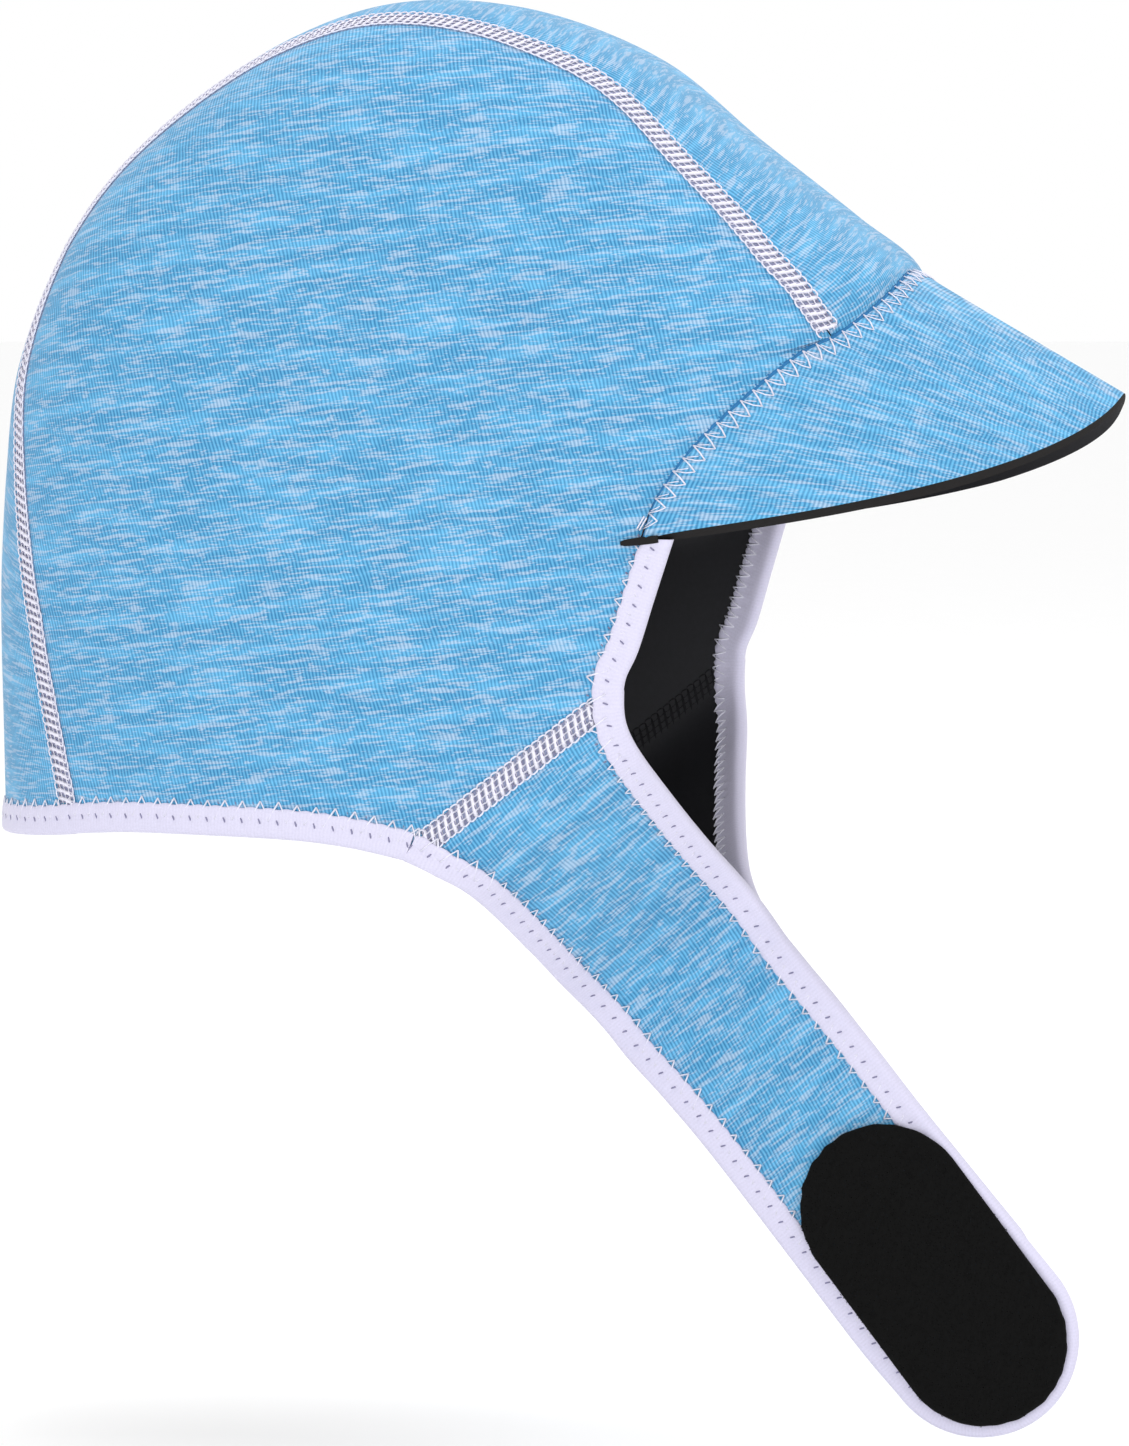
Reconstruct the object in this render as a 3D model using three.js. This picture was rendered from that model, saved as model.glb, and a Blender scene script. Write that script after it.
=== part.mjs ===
// Neoprene diving hood with a short peak and two chin straps, as separate sewn pieces.
// Millimetres, +X towards the face, +Y to the wearer's left, +Z up. The origin is the inside of
// the crown's top, where it rests on the head.
import * as THREE from "three";

// Driving sizes
const WALL = 2.5; // neoprene sheet
const SEAM_GAP = 0.3; // between two sheets sewn edge to edge
const CROWN_HALF_WIDTH = 64;
const CROWN_FRONT = 126.6; // origin to the brow's furthest reach
const CROWN_BACK = 109.5; // origin to the back wall
const EAR_DROP = 118; // origin down to the level where the walls turn upright
const HEM_DROP = 205.5; // origin down to the sheet's edge at the middle of the nape
const NAPE_FLARE = 3.4; // how much further back the nape's wall stands than the wall at ear level
const NAPE_FLARE_DROP = 45; // height over which it leans out
const NAPE_DIP = 2.5; // how much lower the hem is there than at the centre panel's seams
const BROW_ANGLE_MIDDLE = 24.1; // degrees above the ear level, seen from the ear
const BROW_ANGLE_SEAM = 19.1;
const STRAP_ROOT_AHEAD = 36.9; // origin to the middle of the strap's seam
const STRAP_ROOT_DROP = 185.4;
const STRAP_SLOPE = 52; // degrees that the strap points down
const STRAP_LENGTH = 199;
const STRAP_LEFT_SHORTER = 16;
const STRAP_WIDTH = 50;
const STRAP_LEAN_START = 1; // from the seam to where the strap starts to lean inwards
const STRAP_LEAN_LENGTH = 62;
const STRAP_LEAN_ROUND = 0.28; // share of the lean that is rounded at each end
const STRAP_LEFT_LAG = 2.4; // the left strap hangs this far further back
const STRAPS_APART = 3.6; // between the two straps' inner faces under the chin
const PEAK_TIP = 174.2; // origin to the peak's tip
const PEAK_TIP_DROP = 93.8;
const PEAK_CAMBER = 1.2; // bulge between seam and free edge at the corners, none at the ridge
const PEAK_CORNER_WIDTH = 2.5;
const PEAK_CREST_ROUND = 3; // degrees over which the crest of the free edge is rounded
const PEAK_EDGE_SAG = 0.22; // how much lower its middle is than an even fall, as a share of the fall
const BINDING_THICKNESS = 0.8;
const BINDING_LEG = 6.5;
const BINDING_CLEARANCE = 0.3;
const BINDING_FLARE = 0.3; // extra clearance at the ends of the two legs
const PAD_CLEARANCE = 0.3;
const LOOP_PAD_LENGTH = 82.5;
const LOOP_PAD_WIDTH = 43.8;
const LOOP_PAD_THICKNESS = 1.8;
const LOOP_PAD_END_MARGIN = 1.5; // from the strap sheet's tip to the pad
const LOOP_PAD_OFFSET = 1; // towards the strap's front edge
const HOOK_PAD_LENGTH = 60;
const HOOK_PAD_WIDTH = 32;
const HOOK_PAD_THICKNESS = 1.6;
const HOOK_PAD_END_MARGIN = 12;

// Mesh fineness
const SEAM_STEPS = 34;
const ACROSS_STEPS = 10;
const RINGS = 7;
const HEM_STEPS = 12;
const BROW_STEPS = 9;
const FACE_STEPS = 8;
const STRAP_ACROSS_STEPS = 6;
const LEAN_STEPS = 13;
const FLAT_STEPS = 8;
const TIP_STEPS = 6;
const PEAK_STEPS = 6;
const PAD_STEPS = 36;

// Crown seen from the side: ahead is a share of CROWN_FRONT, or of CROWN_BACK where negative,
// and up is a share of the rise from ear level to the outside of the top.
const CROWN_PROFILE = [
  { ahead: 1.0, up: 0.0 },
  { ahead: 1.0, up: 0.25 },
  { ahead: 0.962, up: 0.445 },
  { ahead: 0.829, up: 0.562 },
  { ahead: 0.626, up: 0.724 },
  { ahead: 0.432, up: 0.884 },
  { ahead: 0.185, up: 0.985 },
  { ahead: -0.044, up: 1.0 },
  { ahead: -0.275, up: 0.938 },
  { ahead: -0.5, up: 0.817 },
  { ahead: -0.699, up: 0.66 },
  { ahead: -0.846, up: 0.468 },
  { ahead: -0.955, up: 0.246 },
  { ahead: -1.0, up: 0.0 },
];

// Exponent of the crown's cross-section by the angle seen from the ear, 2 being an ellipse.
const FULLNESS = [
  { angle: 19, exponent: 2.6 },
  { angle: 60, exponent: 2.9 },
  { angle: 95, exponent: 3.3 },
  { angle: 145, exponent: 3.6 },
  { angle: 175, exponent: 3.0 },
  { angle: 200, exponent: 2.5 },
  { angle: 226, exponent: 2.25 },
];

// Half the centre panel's width, as a share of CROWN_HALF_WIDTH, from the brow to the nape.
const CENTRE_WIDTHS = [
  { along: 0.0, half: 0.61 },
  { along: 0.03, half: 0.65 },
  { along: 0.1, half: 0.6 },
  { along: 0.2, half: 0.55 },
  { along: 0.3, half: 0.55 },
  { along: 0.45, half: 0.53 },
  { along: 0.58, half: 0.55 },
  { along: 0.68, half: 0.62 },
  { along: 0.78, half: 0.67 },
  { along: 0.88, half: 0.695 },
  { along: 1.0, half: 0.75 },
];

// Brow seam on the side panel, from the temple up to the centre panel: ahead as a share of
// CROWN_FRONT, drop as a share of HEM_DROP.
const BROW = [
  { ahead: 0.537, drop: 0.624 },
  { ahead: 0.565, drop: 0.577 },
  { ahead: 0.629, drop: 0.519 },
  { ahead: 0.7, drop: 0.473 },
  { ahead: 0.769, drop: 0.433 },
  { ahead: 0.827, drop: 0.403 },
];

// Face edge of the side panel, from the strap's seam up to the temple, in the same shares.
const FACE_EDGE = [
  { ahead: 0.499, drop: 0.81 },
  { ahead: 0.505, drop: 0.782 },
  { ahead: 0.527, drop: 0.752 },
  { ahead: 0.556, drop: 0.694 },
  { ahead: 0.584, drop: 0.639 },
];

// Lower edge of the side panel from the back towards the strap, with ahead a share of
// CROWN_FRONT or, where negative, of CROWN_BACK.
const HEM = [
  { ahead: -0.55, drop: 0.979 },
  { ahead: -0.22, drop: 0.979 },
  { ahead: -0.045, drop: 0.986 },
];

// Front and rear edges of a strap off its middle line, as shares of STRAP_WIDTH.
const STRAP_EDGES = [
  { along: 0.0, front: 0.668, rear: 0.66 },
  { along: 0.035, front: 0.575, rear: 0.595 },
  { along: 0.085, front: 0.5, rear: 0.55 },
  { along: 0.17, front: 0.392, rear: 0.618 },
  { along: 0.245, front: 0.322, rear: 0.69 },
  { along: 0.325, front: 0.29, rear: 0.706 },
  { along: 0.41, front: 0.3, rear: 0.674 },
  { along: 0.5, front: 0.317, rear: 0.651 },
  { along: 0.65, front: 0.329, rear: 0.639 },
  { along: 0.8, front: 0.352, rear: 0.63 },
  { along: 0.88, front: 0.366, rear: 0.608 },
];
const STRAP_TIP_START = 0.88; // share of the strap's length where its round end starts

// Shallow creases on each side panel: the middle in the shares above, the half length and the
// half width in shares of CROWN_FRONT, the depth in shares of WALL and the slope in degrees.
const CREASES = [
  { ahead: 0.3, drop: 0.355, halfLength: 0.24, halfWidth: 0.07, depth: 0.45, slope: 55 },
  { ahead: 0.39, drop: 0.625, halfLength: 0.09, halfWidth: 0.04, depth: 0.4, slope: 15 },
];

const RIGHT = -1;
const LEFT = 1;
const DEGREES = Math.PI / 180;

const heather = new THREE.MeshStandardMaterial({ color: 0x5db1e8, roughness: 0.85, metalness: 0 });
const elastic = new THREE.MeshStandardMaterial({ color: 0xe0ddf0, roughness: 0.75, metalness: 0 });
const pile = new THREE.MeshStandardMaterial({ color: 0x0d0d0f, roughness: 1, metalness: 0 });
const hooks = new THREE.MeshStandardMaterial({ color: 0x151517, roughness: 0.6, metalness: 0 });

const mix = THREE.MathUtils.lerp;

function aheadOf(share) {
  return share * (share < 0 ? CROWN_BACK : CROWN_FRONT);
}

function sideSpot(row) {
  return new THREE.Vector2(aheadOf(row.ahead), -row.drop * HEM_DROP);
}

// Smooth line through a few spots of the side view, cut into equal steps.
function smoothLine(spots, steps) {
  return new THREE.SplineCurve(spots).getSpacedPoints(steps);
}

// Value of one column at a share of the way along, eased between the rows.
function fromTable(rows, column, along) {
  const curve = new THREE.SplineCurve(rows.map((row) => new THREE.Vector2(row.along, row[column])));
  let low = 0;
  let high = 1;
  for (let i = 0; i < 30; i += 1) {
    const middle = (low + high) / 2;
    if (curve.getPoint(middle).x < along) low = middle;
    else high = middle;
  }
  return curve.getPoint(low).y;
}

// Crown surface. Seen from the side, each point has a reach: 0 at the ear and 1 at the profile,
// measured along rays from the ear above ear level and along level lines below it.
const profile = new THREE.SplineCurve(
  CROWN_PROFILE.map(
    (row) => new THREE.Vector2(aheadOf(row.ahead), row.up * (EAR_DROP + WALL)),
  ),
).getPoints(280);
const profileAngles = profile.map((spot) => Math.atan2(spot.y, spot.x) / DEGREES);

function profileRadius(angle) {
  const next = profileAngles.findIndex((each) => each >= angle);
  const i = next < 1 ? profile.length - 1 : next;
  const share = (angle - profileAngles[i - 1]) / (profileAngles[i] - profileAngles[i - 1]);
  return mix(profile[i - 1].length(), profile[i].length(), share);
}

// The back wall's distance behind the origin at a drop below ear level.
function backWall(drop) {
  return CROWN_BACK + NAPE_FLARE * Math.sin(Math.min(drop / NAPE_FLARE_DROP, 1) * 90 * DEGREES);
}

function reachAt(x, z) {
  const up = z + EAR_DROP;
  if (up <= 0) return Math.abs(x) / (x < 0 ? backWall(-up) : CROWN_FRONT);
  return Math.hypot(x, up) / profileRadius(Math.atan2(up, x) / DEGREES);
}

function fullnessAt(angle) {
  const next = FULLNESS.findIndex((row) => row.angle > angle);
  if (next === 0) return FULLNESS[0].exponent;
  if (next < 0) return FULLNESS.at(-1).exponent;
  const [low, high] = [FULLNESS[next - 1], FULLNESS[next]];
  return mix(low.exponent, high.exponent, (angle - low.angle) / (high.angle - low.angle));
}

// Superellipse: the same rule gives the reach for a width and the width for a reach.
function fullSection(share, exponent) {
  return (1 - share ** exponent) ** (1 / exponent);
}

// Strap frame in the side view: down runs along the strap and over runs towards its front edge.
const strapDown = new THREE.Vector2(
  Math.cos(STRAP_SLOPE * DEGREES),
  -Math.sin(STRAP_SLOPE * DEGREES),
);
const strapOver = new THREE.Vector2(-strapDown.y, strapDown.x);
const strapRoot = new THREE.Vector2(STRAP_ROOT_AHEAD, -STRAP_ROOT_DROP);

function strapSpot(down, over) {
  return strapRoot.clone().addScaledVector(strapDown, down).addScaledVector(strapOver, over);
}

// How far a point has gone over from the crown's width to the straps' rest, 0 to 1.
function leanAt(x, z) {
  const down = new THREE.Vector2(x, z).sub(strapRoot).dot(strapDown);
  const t = THREE.MathUtils.clamp((down - STRAP_LEAN_START) / STRAP_LEAN_LENGTH, 0, 1);
  const steepness = 1 / (1 - STRAP_LEAN_ROUND);
  if (t < STRAP_LEAN_ROUND) return (steepness * t * t) / (2 * STRAP_LEAN_ROUND);
  if (t > 1 - STRAP_LEAN_ROUND) return 1 - (steepness * (1 - t) ** 2) / (2 * STRAP_LEAN_ROUND);
  return steepness * (t - STRAP_LEAN_ROUND / 2);
}

function creaseDepth(x, z) {
  return CREASES.reduce((sum, crease) => {
    const away = new THREE.Vector2(x, z).sub(sideSpot(crease));
    away.rotateAround(new THREE.Vector2(), -crease.slope * DEGREES);
    const lengthwise = away.x / (crease.halfLength * CROWN_FRONT);
    const crosswise = away.y / (crease.halfWidth * CROWN_FRONT);
    return sum + crease.depth * WALL * Math.exp(-(lengthwise ** 2) - crosswise ** 2);
  }, 0);
}

function halfWidthAt(x, z) {
  const angle = Math.atan2(z + EAR_DROP, x) / DEGREES;
  const exponent = fullnessAt(angle < -90 ? angle + 360 : angle);
  const section = fullSection(Math.min(reachAt(x, z), 1), exponent);
  const crown = CROWN_HALF_WIDTH * section - creaseDepth(x, z);
  return mix(crown, STRAPS_APART / 2 + WALL, leanAt(x, z));
}

// Frame of a sheet at a spot of the side view: outer point and outward normal.
function sideFrame(spot, side) {
  const h = 0.5;
  const slopeX = (halfWidthAt(spot.x + h, spot.y) - halfWidthAt(spot.x - h, spot.y)) / (2 * h);
  const slopeZ = (halfWidthAt(spot.x, spot.y + h) - halfWidthAt(spot.x, spot.y - h)) / (2 * h);
  const lag = side === LEFT ? STRAP_LEFT_LAG * leanAt(spot.x, spot.y) : 0;
  return {
    p: new THREE.Vector3(spot.x - lag, side * halfWidthAt(spot.x, spot.y), spot.y),
    n: new THREE.Vector3(-slopeX, side, -slopeZ).normalize(),
  };
}

function centreHalfWidth(along) {
  return CROWN_HALF_WIDTH * fromTable(CENTRE_WIDTHS, "half", along);
}

// Point of the crown at a share of the way from brow to nape and at a width off the middle.
function crownPoint(along, y) {
  const seam = centreHalfWidth(along);
  const share = Math.min(Math.abs(y) / seam, 1);
  const front = mix(BROW_ANGLE_MIDDLE, BROW_ANGLE_SEAM, share ** 1.6);
  const napeShare = (share * centreHalfWidth(1)) / CROWN_HALF_WIDTH;
  const napeReach = fullSection(napeShare, FULLNESS.at(-1).exponent) * (CROWN_BACK + NAPE_FLARE);
  const napeDrop = HEM_DROP - NAPE_DIP * share ** 2 - EAR_DROP;
  const back = 180 + Math.atan(napeDrop / napeReach) / DEGREES;
  const angle = mix(front, back, along);
  const reach = fullSection(Math.abs(y) / CROWN_HALF_WIDTH, fullnessAt(angle));
  if (angle < 180) {
    const radius = profileRadius(angle) * reach;
    const x = radius * Math.cos(angle * DEGREES);
    return new THREE.Vector3(x, y, radius * Math.sin(angle * DEGREES) - EAR_DROP);
  }
  const fall = Math.tan(angle * DEGREES);
  let behind = CROWN_BACK * reach;
  for (let i = 0; i < 6; i += 1) behind = backWall(behind * fall) * reach;
  return new THREE.Vector3(-behind, y, -behind * fall - EAR_DROP);
}

function crownFrame(along, y) {
  const h = 0.002;
  const low = Math.max(along - h, 0);
  const high = Math.min(along + h, 1);
  const lengthwise = crownPoint(high, y).sub(crownPoint(low, y));
  const crosswise = crownPoint(along, y + h).sub(crownPoint(along, y - h));
  return { p: crownPoint(along, y), n: crosswise.cross(lengthwise).normalize() };
}

// Closed geometry from points and triangles, turned to face outwards.
function closedGeometry(points, faces) {
  let volume = 0;
  for (const [a, b, c] of faces) {
    volume += points[a].dot(points[b].clone().cross(points[c]));
  }
  const order = volume < 0 ? [0, 2, 1] : [0, 1, 2];
  const index = faces.flatMap((face) => order.map((i) => face[i]));
  return new THREE.BufferGeometry().setFromPoints(points).setIndex(index);
}

// Sheet of the given thickness below its outer frames. The faces and the rim turn the same way.
function thickSheet(frames, faces, rim, thickness) {
  const count = frames.length;
  const inner = frames.map(({ p, n, depth }) => p.clone().addScaledVector(n, -(depth ?? thickness)));
  const all = [...faces, ...faces.map(([a, b, c]) => [a + count, c + count, b + count])];
  rim.forEach((a, i) => {
    const b = rim[(i + 1) % rim.length];
    all.push([b, a, a + count], [b, a + count, b + count]);
  });
  return closedGeometry([...frames.map(({ p }) => p), ...inner], all);
}

function gridSheet(rows, thickness) {
  const columns = rows[0].length;
  const last = rows.length - 1;
  const at = (i, j) => i * columns + j;
  const faces = [];
  for (let i = 0; i < last; i += 1) {
    for (let j = 0; j < columns - 1; j += 1) {
      faces.push([at(i, j), at(i, j + 1), at(i + 1, j + 1)], [at(i, j), at(i + 1, j + 1), at(i + 1, j)]);
    }
  }
  const rim = [];
  for (let j = 0; j < columns - 1; j += 1) rim.push(at(0, j));
  for (let i = 0; i < last; i += 1) rim.push(at(i, columns - 1));
  for (let j = columns - 1; j > 0; j -= 1) rim.push(at(last, j));
  for (let i = last; i > 0; i -= 1) rim.push(at(i, 0));
  return thickSheet(rows.flat(), faces, rim, thickness);
}

// Sheet made of rings that grow from a middle frame to the outline.
function ringSheet(middle, rings, thickness) {
  const count = rings[0].length;
  const at = (ring, i) => 1 + ring * count + (i % count);
  const faces = [];
  for (let i = 0; i < count; i += 1) {
    faces.push([0, at(0, i), at(0, i + 1)]);
    for (let ring = 1; ring < rings.length; ring += 1) {
      faces.push([at(ring - 1, i), at(ring, i), at(ring, i + 1)]);
      faces.push([at(ring - 1, i), at(ring, i + 1), at(ring - 1, i + 1)]);
    }
  }
  const rim = rings[0].map((_, i) => at(rings.length - 1, i));
  return thickSheet([middle, ...rings.flat()], faces, rim, thickness);
}

const steps = (count) => Array.from({ length: count + 1 }, (_, i) => i / count);

// Centre panel
function makeCentrePanel() {
  const rows = steps(SEAM_STEPS).map((along) => {
    const half = centreHalfWidth(along) - SEAM_GAP / 2;
    return steps(ACROSS_STEPS).map((share) => crownFrame(along, mix(-half, half, share)));
  });
  return gridSheet(rows, WALL);
}

// Side panels: each stretch of the outline runs on from the last, anticlockwise seen from the
// right, and starts with its own first spot.
function seamSpots() {
  return steps(SEAM_STEPS).map((along) => {
    const point = crownPoint(along, centreHalfWidth(along) + SEAM_GAP / 2);
    return new THREE.Vector2(point.x, point.z);
  });
}

function strapSeamSpots(offset) {
  const [root] = STRAP_EDGES;
  return steps(STRAP_ACROSS_STEPS).map((share) =>
    strapSpot(offset, STRAP_WIDTH * mix(-root.rear, root.front, share)),
  );
}

function hemSpots() {
  const seamEnd = seamSpots().at(-1);
  const [strapEnd] = strapSeamSpots(-SEAM_GAP / 2);
  return smoothLine([seamEnd, ...HEM.map(sideSpot), strapEnd], HEM_STEPS);
}

function faceSpots() {
  const strapEnd = strapSeamSpots(-SEAM_GAP / 2).at(-1);
  return smoothLine([strapEnd, ...FACE_EDGE.slice(1).map(sideSpot)], FACE_STEPS);
}

function browSpots() {
  return smoothLine([...BROW.map(sideSpot), seamSpots()[0]], BROW_STEPS);
}

const ear = new THREE.Vector2(0, -EAR_DROP);

function makeSidePanel(side) {
  const outline = [
    ...seamSpots(),
    ...hemSpots().slice(1),
    ...strapSeamSpots(-SEAM_GAP / 2).slice(1),
    ...faceSpots().slice(1),
    ...browSpots().slice(0, -1),
  ];
  const rings = steps(RINGS)
    .slice(1)
    .map((share) => outline.map((spot) => sideFrame(ear.clone().lerp(spot, share), side)));
  return ringSheet(sideFrame(ear, side), rings, WALL);
}

// Straps
function strapAlongs() {
  const leanEnd = (STRAP_LEAN_START + STRAP_LEAN_LENGTH) / STRAP_LENGTH;
  const tip = 1 - STRAP_TIP_START;
  const lean = steps(LEAN_STEPS).map((share) => share * leanEnd);
  const flat = steps(FLAT_STEPS).map((share) => mix(leanEnd, STRAP_TIP_START, share));
  const round = steps(TIP_STEPS).map((share) => STRAP_TIP_START + tip * Math.sin(share * 85 * DEGREES));
  return [...lean, ...flat.slice(1), ...round.slice(1)];
}

function strapEdges(along, length) {
  const tip = Math.max(along - STRAP_TIP_START, 0) / (1 - STRAP_TIP_START);
  const round = Math.sqrt(1 - tip * tip);
  const table = Math.min(along, STRAP_TIP_START);
  const front = STRAP_WIDTH * fromTable(STRAP_EDGES, "front", table);
  const rear = STRAP_WIDTH * fromTable(STRAP_EDGES, "rear", table);
  const middle = (front - rear) / 2;
  const half = ((front + rear) / 2) * round;
  return { down: along * length, front: middle + half, rear: half - middle, middle };
}

function strapLength(side) {
  return STRAP_LENGTH - (side === LEFT ? STRAP_LEFT_SHORTER : 0);
}

function strapRows(side) {
  return strapAlongs().map((along) => {
    const { down, front, rear } = strapEdges(along, strapLength(side));
    const start = Math.max(down, SEAM_GAP / 2);
    return steps(STRAP_ACROSS_STEPS).map((share) =>
      sideFrame(strapSpot(start, mix(-rear, front, share)), side),
    );
  });
}

// Peak: a sheet from the brow seam to a free edge that arches over the eyes.
function browFrames() {
  const right = browSpots().map((spot) => sideFrame(spot, RIGHT));
  const half = centreHalfWidth(0) - SEAM_GAP / 2;
  const middle = steps(ACROSS_STEPS).map((share) => crownFrame(0, mix(-half, half, share)));
  const left = browSpots().map((spot) => sideFrame(spot, LEFT));
  return [...right, ...middle, ...left.reverse()];
}

// Seen from above, the free edge is a parabola.
function freeEdgePoint(turn) {
  const temple = sideFrame(sideSpot(BROW[0]), RIGHT).p;
  const angle = Math.abs(turn) * 90;
  const cornerAhead = temple.x + PEAK_CORNER_WIDTH;
  const crest = (value) => Math.hypot(value, PEAK_CREST_ROUND) - PEAK_CREST_ROUND;
  const fall = crest(angle) / crest(90);
  const drop = fall + PEAK_EDGE_SAG * Math.sin(fall * 180 * DEGREES);
  const spread = Math.sin(angle * DEGREES);
  return new THREE.Vector3(
    mix(PEAK_TIP, cornerAhead, spread * spread),
    -Math.sign(turn) * temple.y * spread,
    mix(-PEAK_TIP_DROP, temple.z, drop),
  );
}

function makePeak() {
  const brow = browFrames();
  const lengths = [0];
  brow.slice(1).forEach(({ p }, i) => lengths.push(lengths[i] + p.distanceTo(brow[i].p)));
  const total = lengths.at(-1);
  const point = (column, share) => {
    const { p, n } = brow[column];
    const turn = (2 * lengths[column]) / total - 1;
    const way = freeEdgePoint(turn).sub(p);
    const start = (2 * SEAM_GAP) / way.length();
    const r = mix(start, 1, share);
    const bulge = PEAK_CAMBER * turn * turn * Math.sin(Math.PI * r);
    return p.clone().addScaledVector(way, r).addScaledVector(n, bulge);
  };
  const last = brow.length - 1;
  const rows = steps(PEAK_STEPS).map((share) =>
    brow.map((_, column) => {
      const h = 0.02;
      const across = point(Math.min(column + 1, last), share).sub(point(Math.max(column - 1, 0), share));
      const out = point(column, share + h).sub(point(column, share));
      return { p: point(column, share), n: out.cross(across).normalize() };
    }),
  );
  return gridSheet(rows, WALL);
}

// Bindings: elastic folded round a sheet's edge. Each frame has the edge's outer corner, the
// sheet's normal and the way out of the sheet.
// Two frames that meet at a parting turn with the edge on both sides of it.
function edgeFrames(frames, parting = frames.length) {
  const last = frames.length - 1;
  return frames.map(({ p, n }, i) => {
    const next = i + (i === parting - 1 ? 2 : 1);
    const before = i - (i === parting ? 2 : 1);
    const along = frames[Math.min(next, last)].p.clone().sub(frames[Math.max(before, 0)].p);
    return { p, n, out: along.normalize().cross(n) };
  });
}

function bindingSection() {
  const near = BINDING_CLEARANCE;
  const far = BINDING_CLEARANCE + BINDING_THICKNESS;
  const corner = BINDING_THICKNESS * 0.7;
  return [
    [-BINDING_LEG, near + BINDING_FLARE],
    [near, near],
    [near, -WALL - near],
    [-BINDING_LEG, -WALL - near - BINDING_FLARE],
    [-BINDING_LEG, -WALL - far - BINDING_FLARE],
    [far - corner, -WALL - far],
    [far, -WALL - far + corner],
    [far, far - corner],
    [far - corner, far],
    [-BINDING_LEG, far + BINDING_FLARE],
  ].map(([x, y]) => new THREE.Vector2(x, y));
}

function makeBinding(frames, flip) {
  const section = bindingSection();
  const count = section.length;
  const points = frames.flatMap(({ p, n, out }) =>
    section.map(({ x, y }) => p.clone().addScaledVector(out, x * flip).addScaledVector(n, y)),
  );
  const faces = [];
  for (let i = 0; i < frames.length - 1; i += 1) {
    for (let j = 0; j < count; j += 1) {
      const a = i * count + j;
      const b = i * count + ((j + 1) % count);
      faces.push([a, b, b + count], [a, b + count, a + count]);
    }
  }
  const cap = THREE.ShapeUtils.triangulateShape(section, []);
  const end = (frames.length - 1) * count;
  for (const [a, b, c] of cap) {
    faces.push([a, c, b], [end + a, end + b, end + c]);
  }
  return closedGeometry(points, faces);
}

// The edge of one side from the centre panel along the hem, round the strap and up to the temple.
function sideEdge(side) {
  const hem = hemSpots().map((spot) => sideFrame(spot, side));
  const rows = strapRows(side);
  const rear = rows.map((row) => row[0]);
  const front = rows.map((row) => row.at(-1)).reverse();
  const face = faceSpots().map((spot) => sideFrame(spot, side));
  const frames = edgeFrames([...hem, ...rear, ...front.slice(0, -1), ...face], hem.length);
  return { hem: frames.slice(0, hem.length), strap: frames.slice(hem.length) };
}

function makeHemBinding() {
  const half = centreHalfWidth(1) - SEAM_GAP / 2;
  const middle = steps(ACROSS_STEPS).map((share) => crownFrame(1, mix(-half, half, share)));
  const turned = sideEdge(RIGHT).hem.map(({ p, n, out }) => ({ p, n, out: out.negate() }));
  return makeBinding([...turned.reverse(), ...edgeFrames(middle), ...sideEdge(LEFT).hem], -1);
}

function makeStrapBinding(side) {
  return makeBinding(sideEdge(side).strap, side === RIGHT ? 1 : -1);
}

// Pads: stadium shapes on a strap, with a middle, a length along the strap and a width.
function stadium(length, width, share) {
  const straight = (length - width) / 2;
  return steps(PAD_STEPS)
    .slice(1)
    .map((turn) => {
      const angle = turn * 2 * Math.PI;
      const end = Math.sign(Math.cos(angle)) * straight;
      const down = Math.cos(angle) * (width / 2) + end;
      return new THREE.Vector2(down * share, Math.sin(angle) * (width / 2) * share);
    });
}

function makeLoopPad() {
  const top = BINDING_CLEARANCE + BINDING_THICKNESS + PAD_CLEARANCE + LOOP_PAD_THICKNESS;
  const overSheet = top - PAD_CLEARANCE;
  const middleDown = STRAP_LENGTH - LOOP_PAD_END_MARGIN - LOOP_PAD_LENGTH / 2;
  const { middle } = strapEdges(STRAP_TIP_START, STRAP_LENGTH);
  const frame = (down, over, depth) => {
    const { p, n } = sideFrame(strapSpot(middleDown + down, middle + LOOP_PAD_OFFSET + over), RIGHT);
    return { p: p.addScaledVector(n, top), n, depth };
  };
  const bands = [
    { share: 0.62, depth: overSheet },
    { share: 0.68, depth: LOOP_PAD_THICKNESS },
    { share: 1, depth: LOOP_PAD_THICKNESS },
  ];
  const rings = bands.map(({ share, depth }) =>
    stadium(LOOP_PAD_LENGTH, LOOP_PAD_WIDTH, share).map(({ x, y }) => frame(x, y, depth)),
  );
  return ringSheet(frame(0, 0, overSheet), rings, LOOP_PAD_THICKNESS);
}

function makeHookPad() {
  const middleDown = strapLength(LEFT) - HOOK_PAD_END_MARGIN - HOOK_PAD_LENGTH / 2;
  const { middle } = strapEdges(middleDown / strapLength(LEFT), strapLength(LEFT));
  const frame = (down, over) => {
    const { p, n } = sideFrame(strapSpot(middleDown + down, middle + over), LEFT);
    return { p: p.addScaledVector(n, -WALL - PAD_CLEARANCE), n };
  };
  const rim = stadium(HOOK_PAD_LENGTH, HOOK_PAD_WIDTH, 1).map(({ x, y }) => frame(x, y));
  return ringSheet(frame(0, 0), [rim], HOOK_PAD_THICKNESS);
}

const hood = new THREE.Group();

function add(name, geometry, material) {
  const mesh = new THREE.Mesh(geometry, material);
  mesh.name = name;
  hood.add(mesh);
}

add("centre_panel", makeCentrePanel(), heather);
add("side_panel_right", makeSidePanel(RIGHT), heather);
add("side_panel_left", makeSidePanel(LEFT), heather);
add("strap_right", gridSheet(strapRows(RIGHT), WALL), heather);
add("strap_left", gridSheet(strapRows(LEFT), WALL), heather);
add("peak", makePeak(), heather);
add("hem_binding", makeHemBinding(), elastic);
add("strap_binding_right", makeStrapBinding(RIGHT), elastic);
add("strap_binding_left", makeStrapBinding(LEFT), elastic);
add("loop_pad", makeLoopPad(), pile);
add("hook_pad", makeHookPad(), hooks);

export default hood;
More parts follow.
